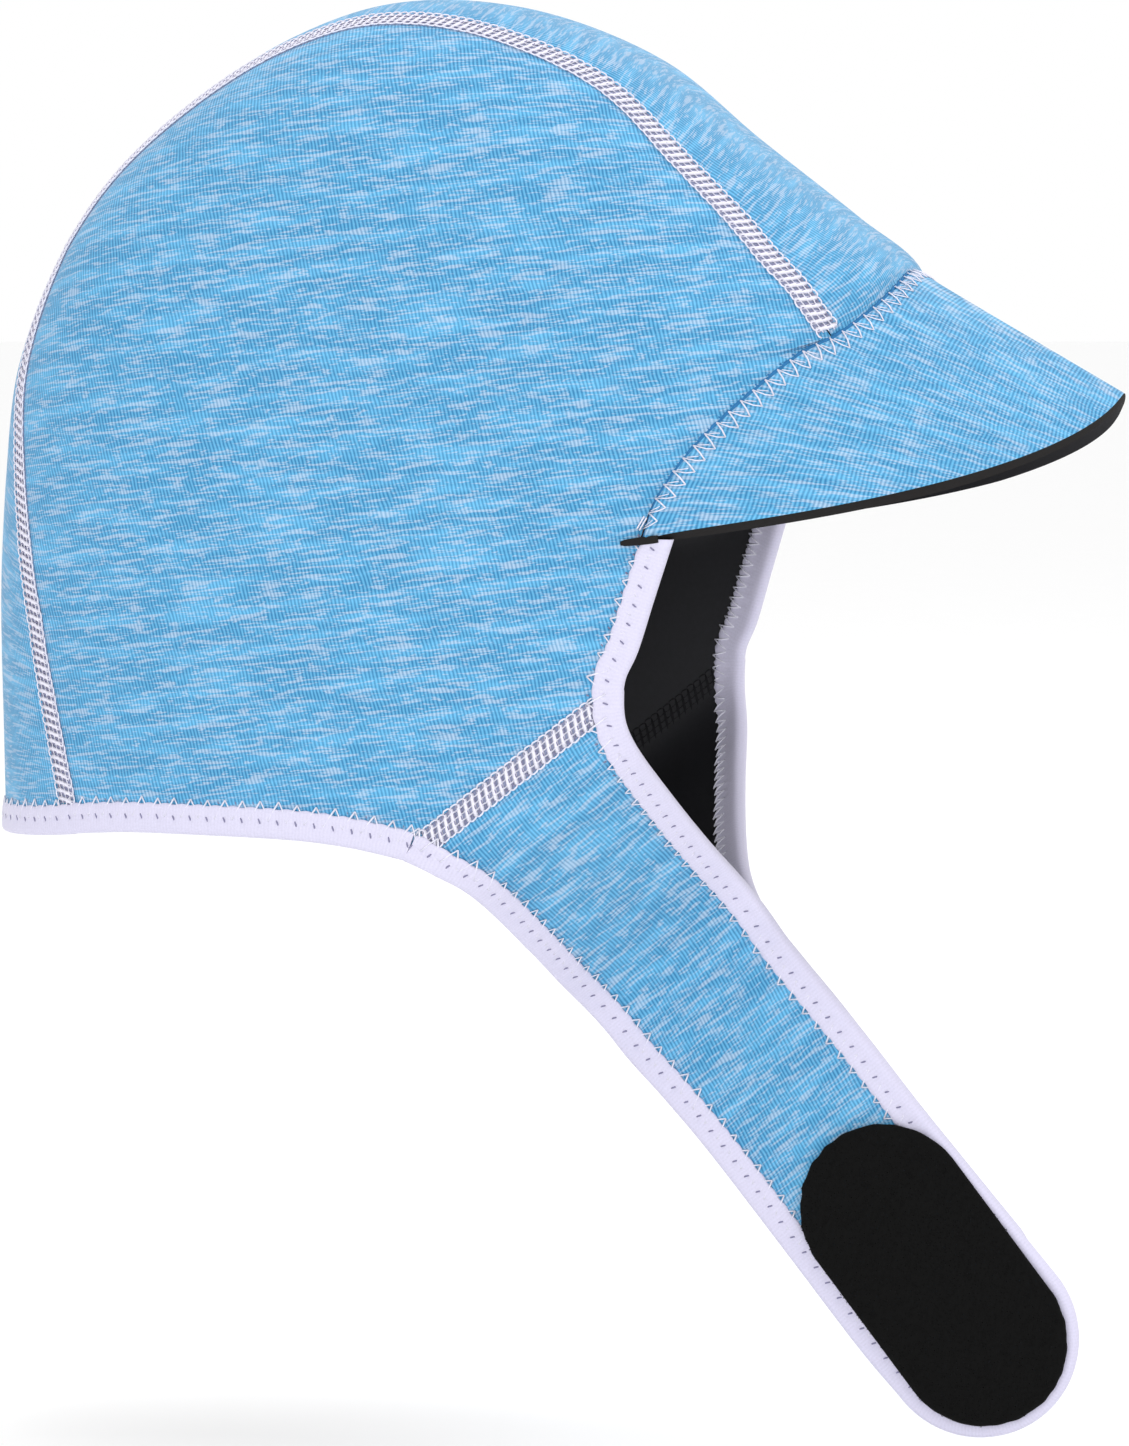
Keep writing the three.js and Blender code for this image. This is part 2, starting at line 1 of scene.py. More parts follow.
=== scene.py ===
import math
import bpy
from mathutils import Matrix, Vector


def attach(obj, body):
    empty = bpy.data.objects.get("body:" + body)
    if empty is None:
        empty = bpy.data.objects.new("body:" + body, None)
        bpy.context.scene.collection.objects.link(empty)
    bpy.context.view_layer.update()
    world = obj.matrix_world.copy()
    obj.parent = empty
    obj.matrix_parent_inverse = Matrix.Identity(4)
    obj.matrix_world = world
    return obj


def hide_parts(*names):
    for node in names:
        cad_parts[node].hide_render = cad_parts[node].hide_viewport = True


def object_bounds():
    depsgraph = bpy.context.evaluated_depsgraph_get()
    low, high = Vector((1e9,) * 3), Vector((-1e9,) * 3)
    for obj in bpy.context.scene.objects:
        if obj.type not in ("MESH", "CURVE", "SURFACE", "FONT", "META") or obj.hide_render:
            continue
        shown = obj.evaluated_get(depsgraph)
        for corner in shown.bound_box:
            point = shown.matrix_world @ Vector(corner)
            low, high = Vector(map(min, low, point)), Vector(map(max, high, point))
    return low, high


bl_info = {
    "name": "Neoprene diving hood",
    "version": (1, 0, 0),
    "blender": (4, 5, 0),
    "location": "View3D > Sidebar > Diving hood",
    "description": "Dresses the packed hood with its sheets, bindings, seams, pads and studio",
    "category": "Object",
}

from types import SimpleNamespace

import bpy
import numpy as np
from bpy.props import FloatProperty, FloatVectorProperty, IntProperty, PointerProperty
from mathutils import Matrix, Vector

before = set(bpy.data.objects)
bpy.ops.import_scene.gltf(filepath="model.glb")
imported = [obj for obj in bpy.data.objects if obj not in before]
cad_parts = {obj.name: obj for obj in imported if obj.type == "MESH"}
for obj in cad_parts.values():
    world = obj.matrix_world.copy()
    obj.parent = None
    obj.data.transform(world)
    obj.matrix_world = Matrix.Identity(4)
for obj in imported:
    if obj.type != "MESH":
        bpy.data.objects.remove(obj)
CAD_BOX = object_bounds()

RIGHT, LEFT = -1, 1
SIDES = ((RIGHT, "right"), (LEFT, "left"))
MM = 0.001

# Crown seen from the side: ahead and up, as shares of the sizes in the panel.
CROWN_PROFILE = [
    (1.0, 0.0), (1.0, 0.25), (0.962, 0.445), (0.829, 0.562), (0.626, 0.724),
    (0.432, 0.884), (0.185, 0.985), (-0.044, 1.0), (-0.275, 0.938), (-0.5, 0.817),
    (-0.699, 0.66), (-0.846, 0.468), (-0.955, 0.246), (-1.0, 0.0),
]
# Exponent of the crown's cross-section by the angle seen from the ear.
FULLNESS = [(19, 2.6), (60, 2.9), (95, 3.3), (145, 3.6), (175, 3.0), (200, 2.5), (226, 2.25)]
# Half the centre panel's width, from the brow to the nape.
CENTRE_WIDTHS = [
    (0.0, 0.61), (0.03, 0.65), (0.1, 0.6), (0.2, 0.55), (0.3, 0.55), (0.45, 0.53),
    (0.58, 0.55), (0.68, 0.62), (0.78, 0.67), (0.88, 0.695), (1.0, 0.75),
]
# Lines of the side view: ahead and drop.
BROW = [
    (0.537, 0.624), (0.565, 0.577), (0.629, 0.519), (0.7, 0.473), (0.769, 0.433), (0.827, 0.403),
]
FACE_EDGE = [(0.499, 0.81), (0.505, 0.782), (0.527, 0.752), (0.556, 0.694), (0.584, 0.639)]
HEM = [(-0.55, 0.979), (-0.22, 0.979), (-0.045, 0.986)]
# Strap edges off its middle line: along, front and rear.
STRAP_EDGES = [
    (0.0, 0.668, 0.66), (0.035, 0.575, 0.595), (0.085, 0.5, 0.55), (0.17, 0.392, 0.618),
    (0.245, 0.322, 0.69), (0.325, 0.29, 0.706), (0.41, 0.3, 0.674), (0.5, 0.317, 0.651),
    (0.65, 0.329, 0.639), (0.8, 0.352, 0.63), (0.88, 0.366, 0.608),
]
# Share of the strap's length at which its round tip starts.
STRAP_TIP_START = 0.88
# Creases: ahead, drop, half length, half width, depth as a share of the sheet, and slope.
CREASES = [(0.3, 0.355, 0.24, 0.045, 0.95, 55.0), (0.39, 0.625, 0.1, 0.035, 0.8, 15.0)]
# How sharply the brow's middle runs down into its seams.
BROW_BEND = 1.6
# Steps of the slopes, in millimetres of the side view and as a share of the crown's run.
SLOPE_STEP, RUN_STEP = 0.5, 0.002
# Degrees round the strap's tip at which its last row stops, just short of the tip itself.
TIP_TURN = 89.5
# Points of an edge closer than this, in millimetres, count as one.
SAME_POINT = 0.05
# Depth and reach, in millimetres, of the lines that stitching draws into the sheets.
SEAM_DIP, SEAM_REACH = 0.45, 3.3
PUCKER_DEPTH, PUCKER_REACH = 0.3, 1.6
BROW_DIP, BROW_REACH = 0.8, 1.3
PEAK_DIP, PEAK_REACH = 0.3, 0.9
# Each sheet's map starts elsewhere, in millimetres, so that neighbours show other streaks.
SIDE_MAP, STRAP_MAP, PEAK_MAP = 300, 900, 1500
# Degrees by which the side panels' knit is turned from level.
SIDE_KNIT = 6
# A sheet's edge stays sharp from this angle on, and the elastic's from this one.
SHEET_SHARP, ELASTIC_SHARP = 50, 60
# View of the photograph: degrees round and up, metres away, and metres to a pixel. Then the
# pixels of its height, of its middle and of the frame's origin in it.
AZIMUTH, ELEVATION, DISTANCE, PIXEL = 16, 4.5, 1.5, 0.25 * MM
PHOTO_HEIGHT, PHOTO_MIDDLE, PHOTO_ORIGIN = 1446, (565, 723), (440, 13)
SENSOR = 36.0
# Lamps: name, place, width in metres and power in watts, all aimed at one spot.
LAMPS = (
    ("key", (-0.9, -1.3, 1.0), 0.9, 1.0),
    ("fill", (0.5, -1.7, -0.05), 0.6, 9.0),
    ("top", (0.5, 0.1, 1.6), 1.6, 18.0),
)
LAMP_AIM = (0.02, 0, -0.16)
# Metres that the floor lies below the solids, and half its width.
FLOOR_GAP, FLOOR_REACH = 0.009, 30.0


def length(name, description, millimetres):
    """A length written in millimetres, kept in metres as Blender keeps it."""
    return FloatProperty(
        name=name, description=description, default=millimetres * MM, min=0.0, precision=4,
        subtype="DISTANCE", unit="LENGTH",
    )


def angle(name, description, degrees):
    """An angle written in degrees, kept in radians."""
    return FloatProperty(
        name=name, description=description, default=math.radians(degrees), subtype="ANGLE", unit="ROTATION"
    )


def share(name, description, default):
    """A share between 0 and 1."""
    return FloatProperty(name=name, description=description, default=default, min=0, max=1, subtype="FACTOR")


def colour(name, description, code):
    """A colour written as an sRGB hex value."""
    return FloatVectorProperty(
        name=name, description=description, subtype="COLOR", size=3, min=0, max=1, default=linear(code)
    )


def linear(code):
    """Linear colour of an sRGB hex value."""
    channels = [int(code[i : i + 2], 16) / 255 for i in (1, 3, 5)]
    return tuple(c / 12.92 if c <= 0.04045 else ((c + 0.055) / 1.055) ** 2.4 for c in channels)


class HoodSizes(bpy.types.PropertyGroup):
    """Sizes of the hood."""

    wall: length("Sheet", "Thickness of the neoprene sheet", 2.5)
    seam_gap: length("Seam gap", "Between two sheets sewn edge to edge", 0.3)
    half_width: length("Half width", "Half the crown's width", 64.0)
    front: length("Front", "Origin to the brow's furthest reach", 126.6)
    back: length("Back", "Origin to the back wall at ear level", 109.5)
    ear_drop: length("Ear level", "Origin down to the ears", 118.0)
    hem_drop: length("Hem", "Origin down to the nape's edge", 205.5)
    nape_flare: length("Nape flare", "How much further back the nape stands", 3.4)
    nape_flare_drop: length("Nape flare height", "Height over which it leans out", 45.0)
    nape_dip: length("Nape dip", "How much lower the hem is at its middle", 2.5)
    brow_middle: angle("Brow middle", "Angle above ear level at the middle of the brow", 24.1)
    brow_seam: angle("Brow seam", "The same at the centre panel's seams", 19.1)
    strap_ahead: length("Strap root ahead", "Origin to the strap's seam", 36.9)
    strap_drop: length("Strap root drop", "Origin down to the strap's seam", 185.4)
    strap_slope: angle("Strap slope", "How steeply the strap points down", 52.0)
    strap_length: length("Strap", "Length of the right strap", 199.0)
    left_shorter: length("Left strap shorter", "By how much", 16.0)
    strap_width: length("Strap width", "What the strap's edges are shares of", 50.0)
    lean_start: length("Lean start", "From the seam to where the strap leans in", 1.0)
    lean_length: length("Lean", "Length over which it leans in", 62.0)
    lean_round: share("Lean rounding", "Rounded share of the lean at each end", 0.28)
    left_lag: length("Left strap lag", "The left strap hangs this far back", 2.4)
    straps_apart: length("Straps apart", "Between the straps' inner faces", 3.6)
    peak_tip: length("Peak tip", "Origin to the peak's tip", 174.2)
    peak_tip_drop: length("Peak tip drop", "Origin down to the tip", 93.8)
    peak_camber: length("Peak camber", "Bulge between seam and edge at the corners", 1.2)
    peak_corner: length("Peak corner", "Width of the peak's end", 2.5)
    peak_crest: angle("Peak crest", "Degrees over which the crest is rounded", 3.0)
    peak_sag: share("Peak sag", "Share of the fall that the free edge sags", 0.22)
    peak_bevel: length("Peak bevel", "The lining's edge stands this far beyond the jersey's", 2.3)
    binding: length("Binding", "Thickness of the folded elastic", 0.8)
    binding_leg: length("Binding leg", "Width of the elastic on each face", 6.5)
    binding_clearance: length("Binding clearance", "From the sheet to the elastic", 0.3)
    binding_pitch: length("Binding stitch", "From one zigzag point to the next", 4.75)
    inner_pitch: length("Inner stitch", "The same on the inner face", 2.9)
    flatlock_pitch: length("Flatlock stitch", "From one stitch to the next", 2.1)
    flatlock_width: length("Flatlock width", "Width of the seam's threads", 5.5)
    peak_pitch: length("Peak stitch", "From one zigzag point to the next", 3.9)
    peak_stitch: length("Peak stitch height", "How far it reaches onto the peak", 3.8)
    thread: length("Thread", "Diameter of the sewing thread", 0.38)
    loop_length: length("Loop pad", "Length of the pile pad", 82.5)
    loop_width: length("Loop pad width", "Width of the pile pad", 43.8)
    loop_height: length("Loop pad height", "Thickness of the pile pad", 1.8)
    loop_margin: length("Loop pad margin", "From the strap's tip to the pad", 1.5)
    loop_offset: length("Loop pad offset", "Towards the strap's front edge", 1.0)
    hook_length: length("Hook pad", "Length of the hook pad", 60.0)
    hook_width: length("Hook pad width", "Width of the hook pad", 32.0)
    hook_height: length("Hook pad height", "Thickness of the hook pad", 1.6)
    hook_margin: length("Hook pad margin", "From the strap's tip to the pad", 12.0)
    pad_clearance: length("Pad clearance", "Between a pad and what it is on", 0.3)
    pile_loops: IntProperty(name="Pile", description="Loops per square centimetre", default=150)


class HoodColours(bpy.types.PropertyGroup):
    """Colours of the hood's materials."""

    ground: colour("Ground", "Dyed yarn of the jersey", "#296D99")
    ground_light: colour("Light ground", "Paler lines of the knit", "#6CB6DF")
    streak: colour("Streak", "Undyed yarn of the heather", "#B6C1D2")
    lining: colour("Lining", "Inside and cut edges of the sheet", "#17171B")
    foam: colour("Foam", "Slanting cut edge of the peak", "#1C1A1A")
    elastic: colour("Elastic", "Folded binding", "#C6C3D8")
    thread: colour("Thread", "Sewing thread", "#DAD9E6")
    # Painted shade: the dark colour of the needle holes, where they lie in shadow.
    mark: colour("Needle marks", "Shadowed needle holes", "#7E7C98")
    bed: colour("Seam bed", "Thread in the shade of the seam", "#868BA8")
    # Painted shade: a plain ground colour for the jersey drawn down into the peak's seam and for the dark
    # tubes in its dents.
    valley_shade: colour("Valley", "Jersey drawn in at the peak's seam", "#2F6D9F")
    pile: colour("Pile", "Loop pad", "#030303")
    hooks: colour("Hooks", "Hook pad", "#111113")
    floor: colour("Floor", "Studio floor", "#FCFCFC")


# Shapes ------------------------------------------------------------------------------------


def spline(points, per=40):
    """Dense points of the smooth curve through a few points."""
    points = np.array(points, float)
    last = len(points) - 1
    out = []
    for i in range(last):
        a, b, c, d = (points[j] for j in (max(i - 1, 0), i, i + 1, min(i + 2, last)))
        t = np.linspace(0, 1, per, endpoint=False)[:, None]
        va, vb = (c - a) / 2, (d - b) / 2
        out.append((2 * b - 2 * c + va + vb) * t**3 + (3 * c - 3 * b - 2 * va - vb) * t**2 + va * t + b)
    return np.vstack([*out, points[-1:]])


def run_of(points):
    """Distance travelled along a line of points."""
    return np.concatenate([[0], np.cumsum(np.linalg.norm(np.diff(points, axis=0), axis=1))])


def even(points, steps, *others):
    """Points, and arrays that go with them, at equal steps along their line."""
    run = run_of(points)
    at = np.linspace(0, run[-1], steps + 1)
    cut = [
        np.stack([np.interp(at, run, axis) for axis in np.asarray(each).T], 1)
        for each in (points, *others)
    ]
    return cut[0] if not others else cut


def column(rows, index, along):
    """One column of a table, read smoothly between its rows."""
    line = spline([(row[0], row[index]) for row in rows])
    return np.interp(along, line[:, 0], line[:, 1])


def unit(vectors):
    """Vectors made one long."""
    return vectors / np.linalg.norm(vectors, axis=-1, keepdims=True)


def mix(a, b, share):
    """The value at a share of the way from a to b."""
    return a + (b - a) * share


class Shape:
    """The hood's surfaces, in millimetres, from the panel's sizes."""

    def __init__(self, sizes):
        self.s = sizes
        rise = sizes.ear_drop + sizes.wall
        rows = [(self.ahead(a), up * rise) for a, up in CROWN_PROFILE]
        line = spline(rows, 60)
        self.profile_angle = np.degrees(np.arctan2(line[:, 1], line[:, 0]))
        self.profile_radius = np.hypot(line[:, 0], line[:, 1])
        slope = math.radians(sizes.strap_slope)
        self.down = np.array([math.cos(slope), -math.sin(slope)])
        self.over = np.array([math.sin(slope), math.cos(slope)])
        self.root = np.array([sizes.strap_ahead, -sizes.strap_drop])

    def ahead(self, share):
        """Millimetres ahead of the origin, or behind it where the share is below 0."""
        return share * (self.s.back if share < 0 else self.s.front)

    def spot(self, row):
        """Spot of the side view for a row of ahead and drop."""
        return (self.ahead(row[0]), -row[1] * self.s.hem_drop)

    def back_wall(self, drop):
        """How far back the wall stands at a drop below ear level."""
        turn = np.minimum(drop / self.s.nape_flare_drop, 1) * math.pi / 2
        return self.s.back + self.s.nape_flare * np.sin(turn)

    def fullness(self, degrees):
        """Exponent of the cross-section at an angle seen from the ear."""
        return np.interp(degrees, *zip(*FULLNESS))

    def reach(self, x, z):
        """How far out a spot lies, where 1 is on the crown's profile."""
        up = z + self.s.ear_drop
        wall = np.where(x < 0, self.back_wall(np.maximum(-up, 0)), self.s.front)
        radius = np.interp(np.degrees(np.arctan2(up, x)), self.profile_angle, self.profile_radius)
        return np.where(up <= 0, np.abs(x) / wall, np.hypot(x, up) / radius)

    def lean(self, x, z):
        """Share by which the strap has leant in at a spot."""
        s = self.s
        down = (x - self.root[0]) * self.down[0] + (z - self.root[1]) * self.down[1]
        t = np.clip((down - s.lean_start) / s.lean_length, 0, 1)
        steep = 1 / (1 - s.lean_round)
        low = steep * t * t / (2 * s.lean_round)
        high = 1 - steep * (1 - t) ** 2 / (2 * s.lean_round)
        middle = steep * (t - s.lean_round / 2)
        return np.where(t < s.lean_round, low, np.where(t > 1 - s.lean_round, high, middle))

    def crease(self, x, z):
        """Depth of the soft creases at a spot."""
        depth = 0
        for ahead, drop, half_length, half_width, share, slope in CREASES:
            at = self.spot((ahead, drop))
            c, s = math.cos(math.radians(slope)), math.sin(math.radians(slope))
            dx, dz = x - at[0], z - at[1]
            along = (dx * c + dz * s) / (half_length * self.s.front)
            across = (dz * c - dx * s) / (half_width * self.s.front)
            depth = depth + share * self.s.wall * np.exp(-(along**2) - across**2)
        return depth

    def half_width(self, x, z):
        """How far the outer face stands off the middle plane at a spot."""
        degrees = np.degrees(np.arctan2(z + self.s.ear_drop, x))
        power = self.fullness(np.where(degrees < -90, degrees + 360, degrees))
        section = (1 - np.minimum(self.reach(x, z), 1) ** power) ** (1 / power)
        crown = self.s.half_width * section - self.crease(x, z)
        return mix(crown, self.s.straps_apart / 2 + self.s.wall, self.lean(x, z))

    def side(self, spots, side):
        """Outer points and outward normals of a side's sheet over spots of the side view."""
        x, z = spots[..., 0], spots[..., 1]
        h = SLOPE_STEP
        slope_x = (self.half_width(x + h, z) - self.half_width(x - h, z)) / (2 * h)
        slope_z = (self.half_width(x, z + h) - self.half_width(x, z - h)) / (2 * h)
        lag = self.s.left_lag * self.lean(x, z) if side == LEFT else 0
        points = np.stack([x - lag, side * self.half_width(x, z), z], -1)
        return points, unit(np.stack([-slope_x, np.full_like(x, side), -slope_z], -1))

    def centre_half(self, along):
        """Half the centre panel's width, from the brow to the nape."""
        return self.s.half_width * column(CENTRE_WIDTHS, 1, along)

    def crown_point(self, along, y):
        """Outer point of the crown between brow and nape, at y off the middle."""
        s = self.s
        share = np.minimum(np.abs(y) / self.centre_half(along), 1)
        front = mix(s.brow_middle, s.brow_seam, share**BROW_BEND)
        power = FULLNESS[-1][1]
        nape_share = share * self.centre_half(1.0) / s.half_width
        nape = (1 - nape_share**power) ** (1 / power) * (s.back + s.nape_flare)
        drop = s.hem_drop - s.nape_dip * share**2 - s.ear_drop
        degrees = mix(front, 180 + np.degrees(np.arctan(drop / nape)), along)
        power = self.fullness(degrees)
        reach = (1 - (np.abs(y) / s.half_width) ** power) ** (1 / power)
        turn = np.radians(degrees)
        radius = np.interp(degrees, self.profile_angle, self.profile_radius) * reach
        fall = np.tan(turn)
        behind = s.back * reach
        # The wall's reach depends on its own drop, so a few rounds close in on it.
        for _ in range(6):
            behind = self.back_wall(np.maximum(behind * fall, 0)) * reach
        low = degrees >= 180
        x = np.where(low, -behind, radius * np.cos(turn))
        z = np.where(low, -behind * fall, radius * np.sin(turn)) - s.ear_drop
        return np.stack([x, y * np.ones_like(x), z], -1)

    def crown(self, along, y):
        """Outer points and outward normals of the crown."""
        h = RUN_STEP
        high, low = np.minimum(along + h, 1), np.maximum(along - h, 0)
        lengthwise = self.crown_point(high, y) - self.crown_point(low, y)
        crosswise = self.crown_point(along, y + h) - self.crown_point(along, y - h)
        return self.crown_point(along, y), unit(np.cross(crosswise, lengthwise))

    def seam_spots(self, steps, offset):
        """The crown seam in the side view, moved sideways by an offset."""
        along = np.linspace(0, 1, steps + 1)
        return self.crown_point(along, self.centre_half(along) + offset)[:, [0, 2]]

    def strap_spot(self, down, over):
        """Spots at a way down the strap and over its middle line."""
        down, over = np.asarray(down)[..., None], np.asarray(over)[..., None]
        return self.root + down * self.down + over * self.over

    def strap_seam(self, steps, offset):
        """The strap's seam from its rear end, moved down by an offset."""
        width = self.s.strap_width
        over = np.linspace(-STRAP_EDGES[0][2] * width, STRAP_EDGES[0][1] * width, steps + 1)
        return self.strap_spot(np.full_like(over, offset), over)

    def hem_spots(self, steps):
        """The hem from the crown seam to the strap."""
        gap = self.s.seam_gap / 2
        start, end = self.seam_spots(4, gap)[-1], self.strap_seam(1, -gap)[0]
        return even(spline([start, *map(self.spot, HEM), end]), steps)

    def face_spots(self, steps):
        """The face edge from the strap to the temple."""
        start = self.strap_seam(1, -self.s.seam_gap / 2)[-1]
        return even(spline([start, *map(self.spot, FACE_EDGE[1:])]), steps)

    def brow_spots(self, steps):
        """The brow from the temple to the crown seam."""
        end = self.seam_spots(4, self.s.seam_gap / 2)[0]
        return even(spline([*map(self.spot, BROW), end]), steps)

    def strap_edges(self, along):
        """Front and rear edges off the middle line, and half their difference."""
        tip = np.maximum(along - STRAP_TIP_START, 0) / (1 - STRAP_TIP_START)
        table = np.minimum(along, STRAP_TIP_START)
        front = self.s.strap_width * column(STRAP_EDGES, 1, table)
        rear = self.s.strap_width * column(STRAP_EDGES, 2, table)
        middle = (front - rear) / 2
        half = (front + rear) / 2 * np.sqrt(np.maximum(1 - tip * tip, 0))
        return middle + half, half - middle, middle

    def strap_run(self, side):
        """Length of a side's strap."""
        return self.s.strap_length - (self.s.left_shorter if side == LEFT else 0)

    def strap_alongs(self, straight, tip):
        """Shares of the length for the rows, closer together round the tip."""
        turn = np.linspace(0, math.radians(TIP_TURN), tip + 1)[1:]
        flat = np.linspace(0, STRAP_TIP_START, straight + 1)
        return np.concatenate([flat, STRAP_TIP_START + (1 - STRAP_TIP_START) * np.sin(turn)])

    def strap_grid(self, side, alongs, shares):
        """Ways down and over for a grid of a strap."""
        front, rear, _ = self.strap_edges(alongs)
        down = np.maximum(alongs * self.strap_run(side), self.s.seam_gap / 2)
        over = mix(-rear[:, None], front[:, None], shares[None, :])
        return np.broadcast_to(down[:, None], over.shape), over

    def side_edge(self, side):
        """Bound edge of one side from the centre panel round the strap to the temple: the hem's
        part, then the strap's, each as points, normals and ways out of the sheet."""
        alongs = self.strap_alongs(180, 40)
        front, rear, _ = self.strap_edges(alongs)
        down = np.maximum(alongs * self.strap_run(side), self.s.seam_gap / 2)
        spots = [
            self.hem_spots(90),
            self.strap_spot(down, -rear),
            self.strap_spot(down, front)[::-1],
            self.face_spots(60)[1:],
        ]
        points, normals = self.side(np.vstack(spots), side)
        steps = np.linalg.norm(np.diff(points, axis=0), axis=1)
        keep = np.concatenate([[True], steps > SAME_POINT])
        points, normals = points[keep], normals[keep]
        cut = len(spots[0])
        along = unit(np.gradient(points, axis=0))
        out = unit(np.cross(along, normals)) * -side
        return [(a[:cut], a[cut:]) for a in (points, normals, out)]

    def peak_edge(self, turn):
        """The peak's free edge from its right corner, at -1, to its left one, at 1."""
        s = self.s
        temple = self.side(np.array([self.spot(BROW[0])]), RIGHT)[0][0]
        degrees = np.abs(turn) * 90

        def crest(value):
            return np.hypot(value, s.peak_crest) - s.peak_crest

        fall = crest(degrees) / crest(90.0)
        drop = fall + s.peak_sag * np.sin(fall * math.pi)
        spread = np.sin(np.radians(degrees))
        x = mix(s.peak_tip, temple[0] + s.peak_corner, spread**2)
        height = mix(-s.peak_tip_drop, temple[2], drop)
        return np.stack([x, -np.sign(turn) * temple[1] * spread, height], -1)

    def brow_line(self, side_steps, middle_steps):
        """The brow seam from the right temple over the middle to the left one."""
        half = self.centre_half(0.0) - self.s.seam_gap / 2
        spots = self.brow_spots(side_steps)
        right, middle, left = (
            self.side(spots, RIGHT),
            self.crown(np.zeros(middle_steps + 1), np.linspace(-half, half, middle_steps + 1)),
            self.side(spots[::-1], LEFT),
        )
        return [np.vstack(each) for each in zip(right, middle, left)]


# Meshes ------------------------------------------------------------------------------------


def mesh_object(name, points, faces, materials, slots=None, uv=None, sharp=None):
    """A mesh in the row's frame from points in millimetres, turned to face outwards."""
    points = np.asarray(points, float)
    faces = [tuple(face) for face in faces]
    volume = 0.0
    for size in (3, 4):
        group = np.array([face for face in faces if len(face) == size])
        for k in range(1, size - 1) if len(group) else ():
            a, b, c = (points[group[:, j]] for j in (0, k, k + 1))
            volume += np.einsum("ij,ij->i", a, np.cross(b, c)).sum()
    if volume < 0:
        faces = [face[::-1] for face in faces]
    mesh = bpy.data.meshes.new(name)
    mesh.from_pydata((points * MM).tolist(), [], faces)
    if slots is not None:
        mesh.polygons.foreach_set("material_index", np.asarray(slots, np.int32))
    if uv is not None:
        layer = mesh.uv_layers.new(name="UVMap")
        loops = np.empty(len(mesh.loops), np.int32)
        mesh.loops.foreach_get("vertex_index", loops)
        layer.data.foreach_set("uv", (np.asarray(uv)[loops] * MM).astype(np.float32).ravel())
    mesh.polygons.foreach_set("use_smooth", np.ones(len(mesh.polygons), bool))
    if sharp:
        mesh.set_sharp_from_angle(angle=math.radians(sharp))
    for material in materials:
        mesh.materials.append(material)
    mesh.update()
    piece = bpy.data.objects.new(name, mesh)
    bpy.context.scene.collection.objects.link(piece)
    return piece


def grid_faces(rows, columns, first=0, wrap=False):
    """Quads between the points of a grid, whose columns may close into rings."""
    i, j = np.meshgrid(np.arange(rows - 1), np.arange(columns if wrap else columns - 1), indexing="ij")
    i, j = i.ravel(), j.ravel()
    k = (j + 1) % columns
    at = first + i * columns
    return np.stack([at + j, at + k, at + columns + k, at + columns + j], 1)


def tube_faces(rows, columns, first=0):
    """Faces of a closed tube: its rings joined in turn, and a cap on each end."""
    ring = first + np.arange(columns)
    faces = [*grid_faces(rows, columns, first, wrap=True), ring[::-1], ring + (rows - 1) * columns]
    return [tuple(face) for face in faces]


def disc_faces(rings, count):
    """Faces of rings of points round a middle one."""
    ring = np.arange(count)
    fan = np.stack([np.zeros(count, int), 1 + ring, 1 + (ring + 1) % count], 1)
    return [*fan, *grid_faces(rings, count, 1, wrap=True)[:, ::-1]]


def shell(name, outer, normals, faces, rim, uv, wall, materials, dip, skew=0):
    """A sheet with a jersey face, a lining below it and a cut edge round it. The dip presses
    the jersey in, and the skew moves the lining sideways."""
    count = len(outer)
    top = outer - normals * dip[:, None]
    inner = outer - normals * wall + skew
    below = [face[::-1] + count for face in faces]
    after = np.roll(rim, -1)
    edge_faces = np.stack([after, rim, rim + count, after + count], 1)
    slots = [0] * len(faces) + [1] * len(below) + [len(materials) - 1] * len(edge_faces)
    return mesh_object(
        name, np.vstack([top, inner]), [*faces, *below, *edge_faces], materials, slots,
        np.vstack([uv, uv]), SHEET_SHARP,
    )


def grid_shell(name, outer, normals, uv, wall, materials, dip, skew=0):
    """A sheet over a grid of points."""
    rows, columns = outer.shape[:2]
    index = np.arange(rows * columns).reshape(rows, columns)
    rim = np.concatenate([index[0, :-1], index[:-1, -1], index[-1, :0:-1], index[:0:-1, 0]])
    outer, normals, uv = (each.reshape(-1, each.shape[-1]) for each in (outer, normals, uv))
    skew = skew.reshape(-1, 3) if np.ndim(skew) else skew
    faces = grid_faces(rows, columns)
    return shell(name, outer, normals, faces, rim, uv, wall, materials, dip.ravel(), skew)


def eased(count):
    """Shares from 0 to 1 that are closer together near both ends."""
    return 0.5 - 0.5 * np.cos(np.linspace(0, 1, count) * math.pi)


def fitted(points, pitch):
    """The pitch nearest to one wanted that goes a whole number of times into a line."""
    run = run_of(points)[-1]
    return run / max(round(run / pitch), 1)


def seam_dip(distance):
    """How far a sheet is pressed in at a distance from its flatlock seam."""
    return SEAM_DIP * np.exp(-((distance / SEAM_REACH) ** 4))


def pucker(distance, run, sizes):
    """Dents beside the elastic of a bound edge, one at each needle point."""
    beyond = distance - sizes.binding_leg
    wave = 0.5 + 0.5 * np.cos(2 * math.pi * run / sizes.binding_pitch)
    return PUCKER_DEPTH * wave * np.exp(-np.abs(beyond) / PUCKER_REACH) * (beyond > -1)


def brow_dip(distance, run, sizes):
    """The crown's edge rolled in at the peak's seam, deeper at each needle point."""
    wave = 0.65 + 0.35 * np.cos(2 * math.pi * run / sizes.peak_pitch)
    return BROW_DIP * wave * np.exp(-((distance / BROW_REACH) ** 2))


def finish_piece(piece, slot, *nodes):
    """Attaches a piece to its body and hides the nodes that it replaces. The slot is not used."""
    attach(piece, "root")
    if nodes:
        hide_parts(*nodes)


# Materials ---------------------------------------------------------------------------------


